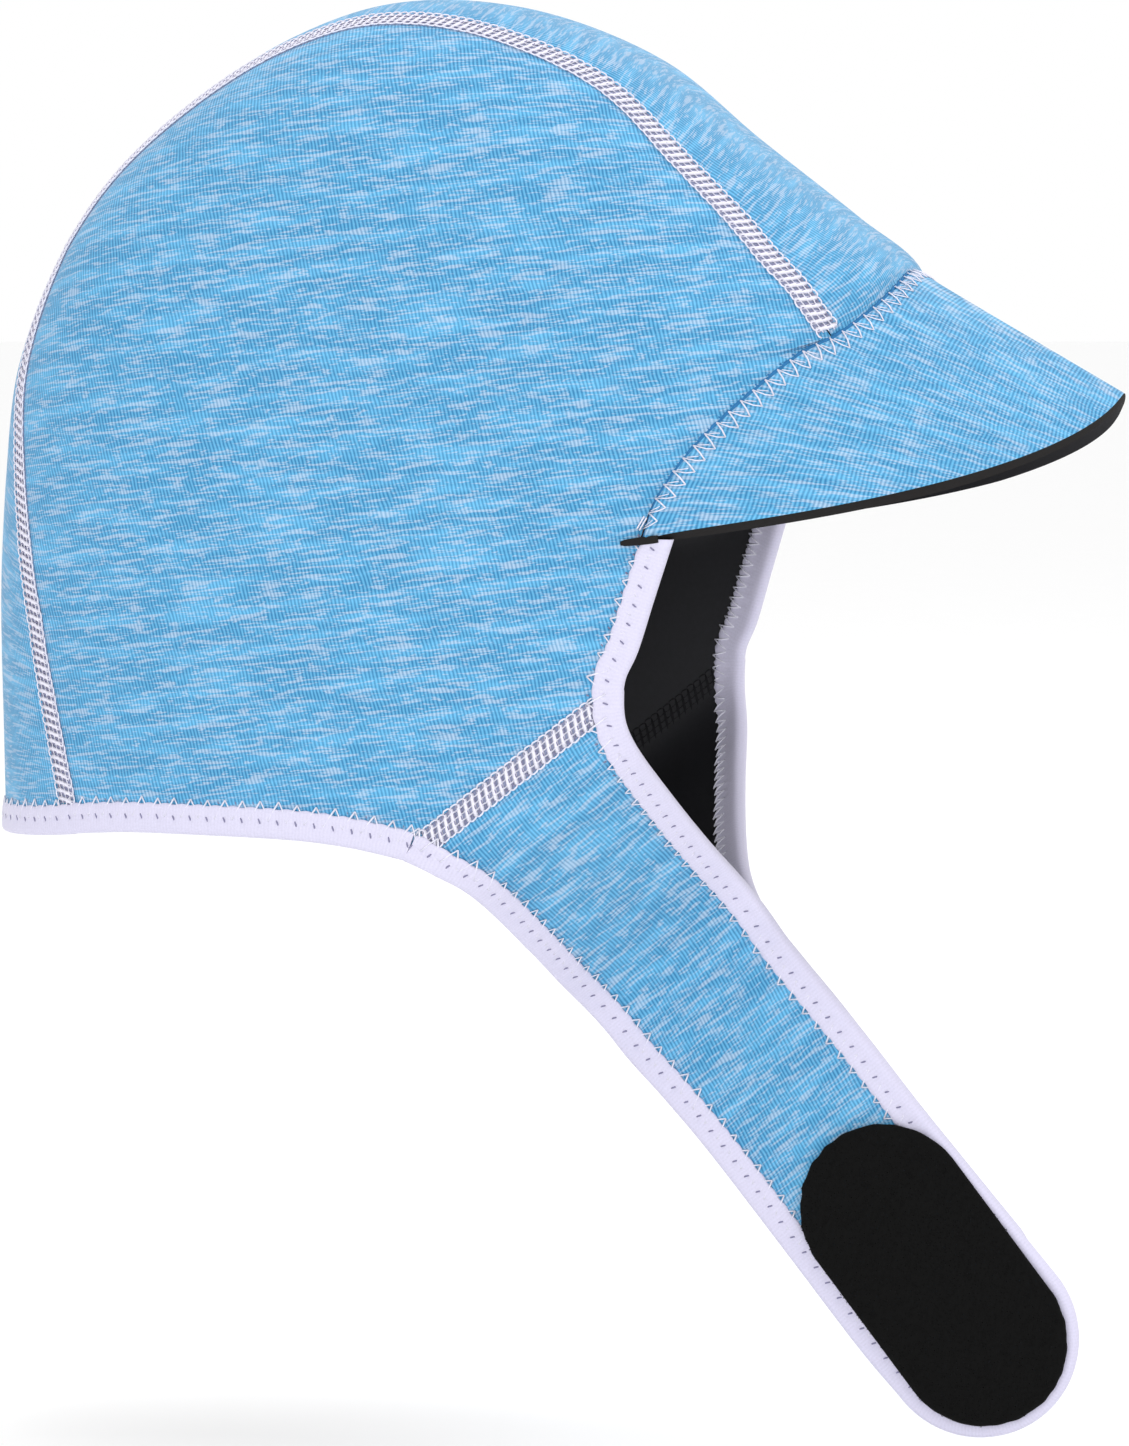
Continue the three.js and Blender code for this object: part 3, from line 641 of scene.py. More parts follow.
def add(tree, kind, inputs=None, **settings):
    """A node with its settings, and its inputs set or linked by name or place."""
    made = tree.nodes.new(kind)
    for key, value in settings.items():
        setattr(made, key, value)
    for key, value in (inputs or {}).items():
        socket = made.inputs[key]
        if isinstance(value, bpy.types.NodeSocket):
            tree.links.new(value, socket)
        else:
            socket.default_value = value
    return made


def made_once(kind):
    """Makes a material or a tree on first use and finds it by its function's name after that."""

    def wrapped(make):
        def found_or_made(*colours):
            return getattr(bpy.data, kind).get(make.__name__) or make(*colours)

        return found_or_made

    return wrapped


def new_material(name, **settings):
    """A material whose shader has its even values set on its own sockets."""
    material = bpy.data.materials.new(name)
    material.use_nodes = True
    tree = material.node_tree
    shader = tree.nodes["Principled BSDF"]
    for key, value in settings.items():
        shader.inputs[key.replace("_", " ")].default_value = value
    return material, tree, shader


def rgba(colour_value, times=1.0):
    """A colour made darker or lighter, with its alpha."""
    return (*(min(c * times, 1.0) for c in colour_value), 1.0)


def surface_mm(tree):
    """The piece's own UV map in millimetres."""
    uv = add(tree, "ShaderNodeUVMap", uv_map="UVMap")
    return add(tree, "ShaderNodeVectorMath", {0: uv.outputs[0], "Scale": 1 / MM}, operation="SCALE")


def connect(tree, shader, tone, height, strength, depth):
    """Gives the shader its colour, and a relief whose depth is in millimetres."""
    # Mix keeps its colour sockets at 6 and 7 and its colour result at 2.
    tree.links.new(tone.outputs[2], shader.inputs["Base Color"])
    bump = add(
        tree, "ShaderNodeBump",
        {"Strength": strength, "Distance": depth * MM, "Height": height.outputs[0]},
    )
    tree.links.new(bump.outputs[0], shader.inputs["Normal"])


@made_once("materials")
def heather_jersey(colours):
    """Circular-knit polyester jersey laminated to foam: space-dyed yarn leaves short pale
    streaks along the courses, and the wales show as fine slanting lines."""
    material, tree, shader = new_material(
        "heather_jersey", Roughness=0.82, Sheen_Weight=0.18, Sheen_Roughness=0.5,
        Specular_IOR_Level=0.15,
    )
    mm = surface_mm(tree).outputs[0]
    # Wales are 0.6 mm apart on such a jersey, drawn wider so that the render shows them.
    wale, wale_slope, wale_bend = 0.95, 0.16, 1.2
    parts = add(tree, "ShaderNodeSeparateXYZ", {0: mm})
    slant = add(
        tree, "ShaderNodeMath", {0: parts.outputs[1], 1: wale_slope, 2: parts.outputs[0]},
        operation="MULTIPLY_ADD",
    )
    wander = add(tree, "ShaderNodeTexNoise", {"Vector": mm, "Scale": 0.12, "Detail": 2.0})
    bent = add(
        tree, "ShaderNodeMath", {0: wander.outputs[0], 1: wale_bend, 2: slant.outputs[0]},
        operation="MULTIPLY_ADD",
    )
    phase = add(
        tree, "ShaderNodeMath", {0: bent.outputs[0], 1: 2 * math.pi / wale}, operation="MULTIPLY"
    )
    wave = add(tree, "ShaderNodeMath", {0: phase.outputs[0]}, operation="SINE")
    wales = add(
        tree, "ShaderNodeMath", {0: wave.outputs[0], 1: 0.5, 2: 0.5}, operation="MULTIPLY_ADD"
    )

    def streaks(scale, place, low, high, detail):
        moved = add(tree, "ShaderNodeMapping", {"Vector": mm, "Scale": scale, "Location": place})
        noise = add(
            tree, "ShaderNodeTexNoise",
            {"Vector": moved.outputs[0], "Scale": 1.0, "Detail": detail, "Roughness": 0.55},
        )
        return add(
            tree, "ShaderNodeMapRange", {"Value": noise.outputs[0], "From Min": low, "From Max": high},
            interpolation_type="SMOOTHSTEP",
        ).outputs[0]

    # Streaks are 5 to 15 mm long and 0.5 to 1 mm thick, and broken up by the wales.
    long_ones = streaks((0.1, 1.0, 1.0), (3.0, 7.0, 0.0), 0.52, 0.61, 3.0)
    short_ones = streaks((0.26, 1.7, 1.0), (11.0, 2.0, 5.0), 0.56, 0.64, 2.0)
    both = add(tree, "ShaderNodeMath", {0: long_ones, 1: short_ones}, operation="MAXIMUM")
    broken = add(
        tree, "ShaderNodeMath", {0: wales.outputs[0], 1: 0.5, 2: 0.5}, operation="MULTIPLY_ADD"
    )
    pale = add(
        tree, "ShaderNodeMath", {0: both.outputs[0], 1: broken.outputs[0]}, operation="MULTIPLY"
    )
    shown = add(tree, "ShaderNodeMath", {0: pale.outputs[0], 1: 0.62}, operation="MULTIPLY")
    # Dye takes unevenly: paler bands a few centimetres long and half a centimetre deep.
    bands = streaks((0.045, 0.3, 1.0), (5.0, 1.0, 9.0), 0.4, 0.7, 4.0)
    paler = add(tree, "ShaderNodeMath", {0: bands, 1: 0.3, 2: 0.04}, operation="MULTIPLY_ADD")
    lines = add(
        tree, "ShaderNodeMath", {0: wales.outputs[0], 1: 0.6, 2: paler.outputs[0]},
        operation="MULTIPLY_ADD",
    )
    ground = add(
        tree, "ShaderNodeMix",
        {"Factor": lines.outputs[0], 6: rgba(colours.ground), 7: rgba(colours.ground_light)},
        data_type="RGBA",
    )
    heather = add(
        tree, "ShaderNodeMix",
        {"Factor": shown.outputs[0], 6: ground.outputs[2], 7: rgba(colours.streak)},
        data_type="RGBA",
    )
    height = add(
        tree, "ShaderNodeMath", {0: both.outputs[0], 1: 0.4, 2: wales.outputs[0]},
        operation="MULTIPLY_ADD",
    )
    connect(tree, shader, heather, height, 0.4, 0.12)
    return material


def grained(tree, shader, grain, colour_value, dark, light, strength):
    """Lets one grain waver the colour between two shades and raise the surface."""
    tone = add(
        tree, "ShaderNodeMix",
        {"Factor": grain.outputs[0], 6: rgba(colour_value, dark), 7: rgba(colour_value, light)},
        data_type="RGBA",
    )
    connect(tree, shader, tone, grain, strength, 0.1)


@made_once("materials")
def smooth_lining(colours):
    """Smooth-skin closed-cell neoprene foam: near black, with a faint even sheen."""
    material, tree, shader = new_material("smooth_lining", Roughness=0.62, Specular_IOR_Level=0.32)
    place = add(tree, "ShaderNodeTexCoord").outputs["Object"]
    cells = add(tree, "ShaderNodeTexNoise", {"Vector": place, "Scale": 900.0, "Detail": 3.0})
    grained(tree, shader, cells, colours.lining, 0.75, 1.35, 0.2)
    return material


@made_once("materials")
def folded_elastic(colours):
    """Woven nylon-covered elastic tape, folded: matt, with fine ribs across its length."""
    material, tree, shader = new_material(
        "folded_elastic", Roughness=0.7, Sheen_Weight=0.15, Specular_IOR_Level=0.3
    )
    mm = surface_mm(tree).outputs[0]
    # Ribs are 0.4 mm apart on such a tape, drawn wider so that the render shows them.
    rib, rib_bend = 0.9, 0.8
    parts = add(tree, "ShaderNodeSeparateXYZ", {0: mm})
    wander = add(tree, "ShaderNodeTexNoise", {"Vector": mm, "Scale": 0.5, "Detail": 2.0})
    bent = add(
        tree, "ShaderNodeMath", {0: wander.outputs[0], 1: rib_bend, 2: parts.outputs[0]},
        operation="MULTIPLY_ADD",
    )
    phase = add(
        tree, "ShaderNodeMath", {0: bent.outputs[0], 1: 2 * math.pi / rib}, operation="MULTIPLY"
    )
    ribs = add(tree, "ShaderNodeMath", {0: phase.outputs[0]}, operation="SINE")
    grain = add(tree, "ShaderNodeTexNoise", {"Vector": mm, "Scale": 2.2, "Detail": 3.0})
    mixed = add(
        tree, "ShaderNodeMath", {0: ribs.outputs[0], 1: 0.1, 2: grain.outputs[0]},
        operation="MULTIPLY_ADD",
    )
    grained(tree, shader, mixed, colours.elastic, 0.86, 1.08, 0.3)
    return material


def mottled(name, colour_value, scale, roughness):
    """A dull finish whose tone and relief waver finely."""
    material, tree, shader = new_material(name, Roughness=roughness, Specular_IOR_Level=0.2)
    place = add(tree, "ShaderNodeTexCoord").outputs["Object"]
    noise = add(tree, "ShaderNodeTexNoise", {"Vector": place, "Scale": scale, "Detail": 2.0})
    grained(tree, shader, noise, colour_value, 0.8, 1.15, 0.3)
    return material


@made_once("materials")
def spun_thread(colours):
    """Spun polyester sewing thread: matt, slightly hairy, a little uneven in tone."""
    return mottled("spun_thread", colours.thread, 1400.0, 0.65)


@made_once("materials")
def cut_foam(colours):
    """Edge of the foam sheared with scissors: open cells, dull dark grey."""
    return mottled("cut_foam", colours.foam, 1100.0, 0.9)


@made_once("materials")
def lining_thread(colours):
    """Black sewing thread on the inside of the seams: matt and barely seen on the lining."""
    return mottled("lining_thread", [c * 0.8 for c in colours.lining], 1400.0, 0.8)


@made_once("materials")
def shaded_seam_bed_thread(colours):
    """Looper threads in the shade under a flat seam's cover: the thread's colour, darker."""
    return mottled("shaded_seam_bed_thread", colours.bed, 1400.0, 0.8)


@made_once("materials")
def jersey_in_painted_shade(colours):
    """Jersey drawn down into the peak's seam: the ground colour in deep shade."""
    return mottled("jersey_in_painted_shade", colours.valley_shade, 900.0, 0.9)


@made_once("materials")
def needle_hole_shade(colours):
    """Needle holes drawn together by the thread: shadow, so dark, dull and bluish."""
    return mottled("needle_hole_shade", colours.mark, 900.0, 0.9)


@made_once("materials")
def brushed_pile(colours):
    """Brushed nylon loop pile: very dull black that only lightens at its edges."""
    return mottled("brushed_pile", colours.pile, 1600.0, 0.95)


@made_once("materials")
def moulded_hooks(colours):
    """Moulded nylon hooks on a tape: black with small glints."""
    return mottled("moulded_hooks", colours.hooks, 700.0, 0.5)


def sheet_finishes(colours):
    """The jersey outside, and the lining inside and on the cut edge."""
    return [heather_jersey(colours), smooth_lining(colours)]


# Stitches ----------------------------------------------------------------------------------


def tube(points, radius, sides=5, flat=1.0, first=0):
    """A closed tube along points; flat squashes it in Z."""
    points = np.array(points, float)
    along = unit(np.gradient(points, axis=0))
    up = np.tile([0.0, 0.0, 1.0], (len(points), 1))
    across = unit(np.cross(up, along))
    up = np.cross(along, across)
    turn = np.arange(sides) / sides * 2 * math.pi
    ring = across[:, None] * np.cos(turn)[None, :, None] * radius
    ring = ring + up[:, None] * np.sin(turn)[None, :, None] * radius * flat
    return (points[:, None] + ring).reshape(-1, 3), tube_faces(len(points), sides, first)


def stitch_mesh(name, tubes, material):
    """One stitch of several tubes, as a hidden object for a tree to repeat. Each tube is its
    points along, across and up in millimetres, its radius, its sides and its flatness."""
    corners, faces = [], []
    for points, radius, sides, flat in tubes:
        made, its_faces = tube(points, radius, sides, flat, sum(map(len, corners)))
        corners.append(made)
        faces += its_faces
    mesh = bpy.data.meshes.new(name)
    mesh.from_pydata((np.vstack(corners) * MM).tolist(), [], faces)
    mesh.polygons.foreach_set("use_smooth", np.ones(len(mesh.polygons), bool))
    mesh.materials.append(material)
    return bpy.data.objects.new(name, mesh)


def new_tree(name, source, result, **sockets):
    """A geometry tree with a mesh to start from, named inputs and one result."""
    tree = bpy.data.node_groups.new(name, "GeometryNodeTree")
    rows = [(source, "INPUT", "Geometry")]
    rows += [(label.replace("_", " "), "INPUT", kind) for label, kind in sockets.items()]
    for label, way, kind in [*rows, (result, "OUTPUT", "Geometry")]:
        tree.interface.new_socket(label, in_out=way, socket_type=f"NodeSocket{kind}")
    return tree, add(tree, "NodeGroupInput").outputs


def end_tree(tree, points, shape, turn, size, finish):
    """Ends a tree with its shape on every point, made real and given its material."""
    one = add(tree, "GeometryNodeObjectInfo", {"Object": shape})
    repeated = add(
        tree, "GeometryNodeInstanceOnPoints",
        {"Points": points, "Instance": one.outputs["Geometry"], "Rotation": turn, "Scale": size},
    )
    real = add(tree, "GeometryNodeRealizeInstances", {0: repeated.outputs[0]})
    dyed = add(tree, "GeometryNodeSetMaterial", {"Geometry": real.outputs[0], "Material": finish})
    add(tree, "NodeGroupOutput", {0: dyed.outputs[0]})
    return tree


@made_once("node_groups")
def stitches_along_a_path():
    """Repeats a stitch at equal steps along a path that carries its own normals."""
    tree, given = new_tree(
        "stitches_along_a_path", "Path", "Stitches",
        Stitch="Object", Thread="Material", Pitch="Float", Unevenness="Float", Seed="Int",
    )
    line = add(tree, "GeometryNodeMeshToCurve", {0: given["Path"]})
    even_line = add(
        tree, "GeometryNodeResampleCurve", {"Curve": line.outputs[0], "Length": given["Pitch"]},
        mode="LENGTH",
    )
    normal = add(
        tree, "GeometryNodeInputNamedAttribute", {"Name": "path_normal"}, data_type="FLOAT_VECTOR"
    )
    tangent = add(tree, "GeometryNodeInputTangent")
    turn = add(
        tree, "FunctionNodeAxesToRotation", {0: normal.outputs[0], 1: tangent.outputs[0]},
        primary_axis="Z", secondary_axis="X",
    )
    most = add(tree, "ShaderNodeMath", {0: given["Unevenness"], 1: 1.0}, operation="ADD")
    least = add(tree, "ShaderNodeMath", {0: 1.0, 1: given["Unevenness"]}, operation="SUBTRACT")
    # Random Value keeps its float sockets at 2 and 3 and its float result at 1.
    size = add(
        tree, "FunctionNodeRandomValue",
        {2: least.outputs[0], 3: most.outputs[0], "Seed": given["Seed"]}, data_type="FLOAT",
    )
    across = add(tree, "ShaderNodeCombineXYZ", {0: 1.0, 1: size.outputs[1], 2: 1.0})
    return end_tree(
        tree, even_line.outputs[0], given["Stitch"], turn.outputs[0], across.outputs[0],
        given["Thread"],
    )


def applied(host, tree, values, name):
    """A plain mesh object from a tree run on host, which is then removed."""
    modifier = host.modifiers.new("made", "NODES")
    modifier.node_group = tree
    sockets = {
        item.name: item.identifier for item in tree.interface.items_tree if item.in_out == "INPUT"
    }
    for key, value in values.items():
        modifier[sockets[key]] = value
    bpy.context.view_layer.update()
    graph = bpy.context.evaluated_depsgraph_get()
    mesh = bpy.data.meshes.new_from_object(host.evaluated_get(graph), depsgraph=graph)
    if not len(mesh.polygons):
        raise RuntimeError(f"{name}: the tree made nothing")
    mesh.name = name
    host.modifiers.clear()
    old = host.data
    host.data = mesh
    host.name = name
    bpy.data.meshes.remove(old)
    return host


def stitches(name, points, normals, stitch, material, pitch, unevenness, seed, slot="elastic_binding"):
    """A finished piece: a whole number of stitches along a path in millimetres."""
    mesh = bpy.data.meshes.new(name)
    edges = [(i, i + 1) for i in range(len(points) - 1)]
    mesh.from_pydata((np.asarray(points) * MM).tolist(), edges, [])
    layer = mesh.attributes.new("path_normal", "FLOAT_VECTOR", "POINT")
    layer.data.foreach_set("vector", np.asarray(normals, np.float32).ravel())
    host = bpy.data.objects.new(name, mesh)
    bpy.context.scene.collection.objects.link(host)
    # A hair under the fitted pitch, so that rounding doesn't drop the last stitch.
    step = fitted(points, pitch) * 0.9999 * MM
    values = {
        "Stitch": stitch, "Thread": material, "Pitch": step, "Unevenness": unevenness, "Seed": seed,
    }
    made = applied(host, stitches_along_a_path(), values, name)
    made.data.polygons.foreach_set("use_smooth", np.ones(len(made.data.polygons), bool))
    finish_piece(made, slot)


def flatlock_stitch(sizes, material):
    """One repeat of the four-needle flat seam: a broad slanting bundle that covers the joint,
    three needle rows across it and a chain of loops on each edge."""
    pitch, half, r = sizes.flatlock_pitch, sizes.flatlock_width / 2, sizes.thread / 2
    slant = pitch * 0.55
    cover = [
        (-slant, -half * 0.92, 0), (-slant * 0.4, -half * 0.35, 0.1),
        (slant * 0.4, half * 0.35, 0.1), (slant, half * 0.92, 0),
    ]
    tubes = [(cover, pitch * 0.3, 4, 0.5)]
    for place in (-0.52, 0.0, 0.52):
        x, y = slant * place, half * place
        row = [(x - pitch * 0.52, y, 0.12), (x, y + 0.1, 0.26), (x + pitch * 0.52, y, 0.12)]
        tubes.append((row, r * 0.95, 4, 0.9))
    for edge in (-1, 1):
        y, bulge = edge * half, 0.32 * edge
        loop = [
            (-pitch * 0.56, y - bulge * 0.4, 0.05), (-pitch * 0.2, y + bulge, 0.2),
            (pitch * 0.25, y + bulge * 0.7, 0.22), (pitch * 0.56, y - bulge * 0.5, 0.05),
        ]
        tubes.append((loop, r * 1.15, 4, 1.0))
    return stitch_mesh("flatlock_stitch", tubes, material)


def flatlock_holes(sizes, material):
    """Shaded openings between the covering threads, two staggered rows and two edge rows."""
    pitch, half = sizes.flatlock_pitch, sizes.flatlock_width / 2
    tubes = []
    for place, x, reach, radius in (
        (-0.25, 0.0, 0.45, 0.2), (0.25, pitch / 2, 0.45, 0.2),
        (-0.76, 0.2, 0.24, 0.17), (0.76, 0.8, 0.24, 0.17),
    ):
        y = half * place
        tubes.append(([(x - 0.14, y - reach, 0.14), (x + 0.14, y + reach, 0.14)], radius, 5, 0.8))
    return stitch_mesh("flatlock_holes", tubes, material)


def binding_stitch(sizes, material, pitch, start, end):
    """One V of the zigzag that holds the elastic: out over its edge onto the sheet and back."""
    r, back, point = sizes.thread / 2, math.copysign(1.0, start - end), (0, end, -0.25)
    away = [(-pitch * 0.5, start, 0.0), (-pitch * 0.26, end + back * 1.9, 0.12), point]
    home = [point, (pitch * 0.2, end + back * 1.7, 0.12), (pitch * 0.5, start, 0.0)]
    stitch = stitch_mesh("binding_stitch", [(away, r, 4, 1.0), (home, r * 1.2, 4, 1.0)], material)
    # The V lies on the elastic's face and steps down to the sheet beyond its edge.
    for vertex in stitch.data.vertices:
        on_sheet = abs(vertex.co.y) > (sizes.binding_leg - 0.6) * MM
        vertex.co.z += (0.84 - 0.44 * on_sheet) * MM
    return stitch


# Operators ---------------------------------------------------------------------------------


def plain_sizes(group):
    """The panel's sizes as plain numbers: lengths in millimetres, angles in degrees."""
    plain = SimpleNamespace()
    for prop in group.bl_rna.properties:
        if prop.type in {"FLOAT", "INT"}:
            value = getattr(group, prop.identifier)
            scale = {"LENGTH": 1 / MM, "ROTATION": 180 / math.pi}.get(prop.unit, 1)
            setattr(plain, prop.identifier, value * scale)
    return plain


def parts_of(context):
    """Sizes, colours and surfaces for an operator."""
    sizes = plain_sizes(context.scene.hood_sizes)
    return sizes, context.scene.hood_colours, Shape(sizes)


class HOOD_OT_centre_panel(bpy.types.Operator):
    """Adds the strip over the crown between the two long seams"""

    bl_idname = "hood.centre_panel"
    bl_label = "Centre panel"

    def execute(self, context):
        sizes, colours, shape = parts_of(context)
        rows, lanes = 241, 57
        middle = lanes // 2
        along = np.linspace(0, 1, rows)
        lane = np.sin(np.linspace(-1, 1, lanes) * math.pi / 2)
        y = (shape.centre_half(along) - sizes.seam_gap / 2)[:, None] * lane[None, :]
        outer, normals = shape.crown(np.broadcast_to(along[:, None], y.shape), y)
        across = np.zeros(y.shape)
        across[:, 1:] = np.cumsum(np.linalg.norm(np.diff(outer, axis=1), axis=2), axis=1)
        across -= across[:, [middle]]
        lengthwise = np.broadcast_to(run_of(outer[:, middle])[:, None], y.shape)
        dip = seam_dip(across[:, [-1]] - np.abs(across)) + brow_dip(lengthwise, across, sizes)
        dip = dip + pucker(lengthwise[-1, 0] - lengthwise, across, sizes)
        piece = grid_shell(
            "centre_panel_sheet", outer, normals, np.stack([across, lengthwise], -1), sizes.wall,
            sheet_finishes(colours), dip,
        )
        finish_piece(piece, "heather_neoprene", "centre_panel")
        return {"FINISHED"}


class HOOD_OT_side_panels(bpy.types.Operator):
    """Adds the two panels from the temples over the ears to the nape"""

    bl_idname = "hood.side_panels"
    bl_label = "Side panels"

    def execute(self, context):
        sizes, colours, shape = parts_of(context)
        gap = sizes.seam_gap / 2
        flat_seam, bound, brow = range(3)
        lines = [
            (flat_seam, shape.seam_spots(200, gap)),
            (bound, shape.hem_spots(60)[1:]),
            (flat_seam, shape.strap_seam(36, -gap)[1:]),
            (bound, shape.face_spots(36)[1:]),
            (brow, shape.brow_spots(48)[:-1]),
        ]
        outline = np.vstack([line for _, line in lines])
        kinds = np.concatenate([np.full(len(line), kind) for kind, line in lines])
        ear = np.array([0.0, -sizes.ear_drop])
        # Rings lie closer together towards the edge, where the sheet is stitched.
        rings = 1 - (1 - np.linspace(0, 1, 61)[1:]) ** 1.45
        spots = ear + rings[:, None, None] * (outline - ear)[None]
        tangent = unit(np.roll(outline, -1, 0) - np.roll(outline, 1, 0))
        ray = unit(outline - ear)
        square = np.abs(ray[:, 0] * tangent[:, 1] - ray[:, 1] * tangent[:, 0])
        c, s = math.cos(math.radians(SIDE_KNIT)), math.sin(math.radians(SIDE_KNIT))
        for side, name in SIDES:
            outer, normals = shape.side(spots, side)
            middle, middle_normal = shape.side(ear[None], side)
            start = np.broadcast_to(middle, outer[:1].shape)
            steps = np.linalg.norm(np.diff(np.vstack([start, outer]), axis=0), axis=2)
            radius = np.cumsum(steps, axis=0)
            to_edge = (radius[-1] - radius) * square
            run = run_of(outer[-1])[None, :]
            dip = np.where(kinds == flat_seam, seam_dip(to_edge), 0)
            dip = dip + np.where(kinds == bound, pucker(to_edge, run, sizes), 0)
            dip = dip + np.where(kinds == brow, brow_dip(to_edge, run, sizes), 0)
            flat = radius[..., None] * ray[None]
            uv = np.stack([flat[..., 0] * c + flat[..., 1] * s, flat[..., 1] * c - flat[..., 0] * s], -1)
            rim = 1 + (len(rings) - 1) * len(outline) + np.arange(len(outline))
            piece = shell(
                f"side_panel_{name}_sheet", np.vstack([middle, outer.reshape(-1, 3)]),
                np.vstack([middle_normal, normals.reshape(-1, 3)]),
                disc_faces(len(rings), len(outline)), rim,
                np.vstack([np.zeros((1, 2)), uv.reshape(-1, 2)]) + SIDE_MAP, sizes.wall,
                sheet_finishes(colours), np.concatenate([[0], dip.ravel()]),
            )
            finish_piece(piece, "heather_neoprene", f"side_panel_{name}")
        return {"FINISHED"}


class HOOD_OT_straps(bpy.types.Operator):
    """Adds the two chin straps below the ears"""

    bl_idname = "hood.straps"
    bl_label = "Chin straps"

    def execute(self, context):
        sizes, colours, shape = parts_of(context)
        for side, name in SIDES:
            down, over = shape.strap_grid(side, shape.strap_alongs(130, 26), eased(41))
            outer, normals = shape.side(shape.strap_spot(down, over), side)
            to_edge = np.minimum(over - over[:, :1], over[:, -1:] - over)
            piece = grid_shell(
                f"strap_{name}_sheet", outer, normals, np.stack([over, down], -1) + STRAP_MAP,
                sizes.wall, sheet_finishes(colours), seam_dip(down) + pucker(to_edge, down, sizes),
            )
            finish_piece(piece, "heather_neoprene", f"strap_{name}")
        return {"FINISHED"}


def peak_points(shape, shares):
    """Outer points and normals of the peak, from the brow seam to the free edge, and the run
    along the seam."""
    sizes = shape.s
    brow, normals = shape.brow_line(50, 70)
    run = run_of(brow)
    turn = 2 * run / run[-1] - 1
    edge = shape.peak_edge(turn)
    bulge = sizes.peak_camber * normals * (turn**2)[:, None]

    def at(share):
        way = edge - brow
        start = 2 * sizes.seam_gap / np.linalg.norm(way, axis=1, keepdims=True)
        r = mix(start, 1, share)
        return brow + way * r + bulge * np.sin(math.pi * r)

    points = np.stack([at(share) for share in shares])
    out = np.stack([at(share + 0.02) - at(share) for share in shares])
    across = np.gradient(points, axis=1)
    return points, unit(np.cross(out, across)), run


class HOOD_OT_peak(bpy.types.Operator):
    """Adds the short peak that is butt-joined along the brow"""

    bl_idname = "hood.peak"
    bl_label = "Peak"

    def execute(self, context):
        sizes, colours, shape = parts_of(context)
        points, normals, run = peak_points(shape, eased(41))
        steps = np.linalg.norm(np.diff(points, axis=0), axis=2)
        out = np.vstack([np.zeros((1, steps.shape[1])), np.cumsum(steps, axis=0)])
        dip = PEAK_DIP * np.exp(-((out / PEAK_REACH) ** 2))
        # Courses fan out below the ridge: the map is the way forwards and the way below the ridge.
        spread, growth = 1.5, 0.0073
        middle = points.shape[1] // 2
        start = points[0, middle]
        ridge = points[-1, middle] - start
        forwards = points @ (ridge / np.linalg.norm(ridge))
        ahead = points[..., 0] - start[0]
        below = start[2] + ahead * ridge[2] / ridge[0] - points[..., 2]
        off = spread * below * np.exp(growth * ahead) * np.sign(points[..., 1])
        # The cut edge slants: the lining stands out beyond the jersey, least at the tip.
        least, rise = 0.25, 2.4
        skew = np.zeros_like(points)
        bevel = sizes.peak_bevel * np.clip(np.abs(2 * run / run[-1] - 1) * rise, least, 1)
        skew[-1] = unit(points[-1] - points[-3]) * bevel[:, None]
        piece = grid_shell(
            "peak_sheet", points, normals, np.stack([forwards, off], -1) + PEAK_MAP, sizes.wall,
            [*sheet_finishes(colours), cut_foam(colours)], dip, skew,
        )
        finish_piece(piece, "heather_neoprene", "peak")
        return {"FINISHED"}


def binding_loop(sizes):
    """Section of the folded elastic as (way out of the sheet, height over its face)."""
    leg, wall, thick = sizes.binding_leg, sizes.wall, sizes.binding + sizes.binding_clearance
    outer = [
        (-leg, 0.28), (-leg + 0.25, 0.62), (-leg + 1.2, 0.86), (-leg + 2.4, 0.92), (-leg + 3.4, 0.9),
        (-leg + 4.6, thick * 0.98), (-leg + 5.7, thick), (-0.1, thick * 0.94), (0.5, thick * 0.62),
        (0.9, -0.1), (1.08, -wall / 2),
    ]
    mirrored = [(x, -wall - y) for x, y in outer[-2::-1]]
    inside = [(-leg + 0.1, -wall - 0.03), (0.25, -wall - 0.03), (0.25, 0.03), (-leg + 0.1, 0.03)]
    return np.array(outer + mirrored + inside)


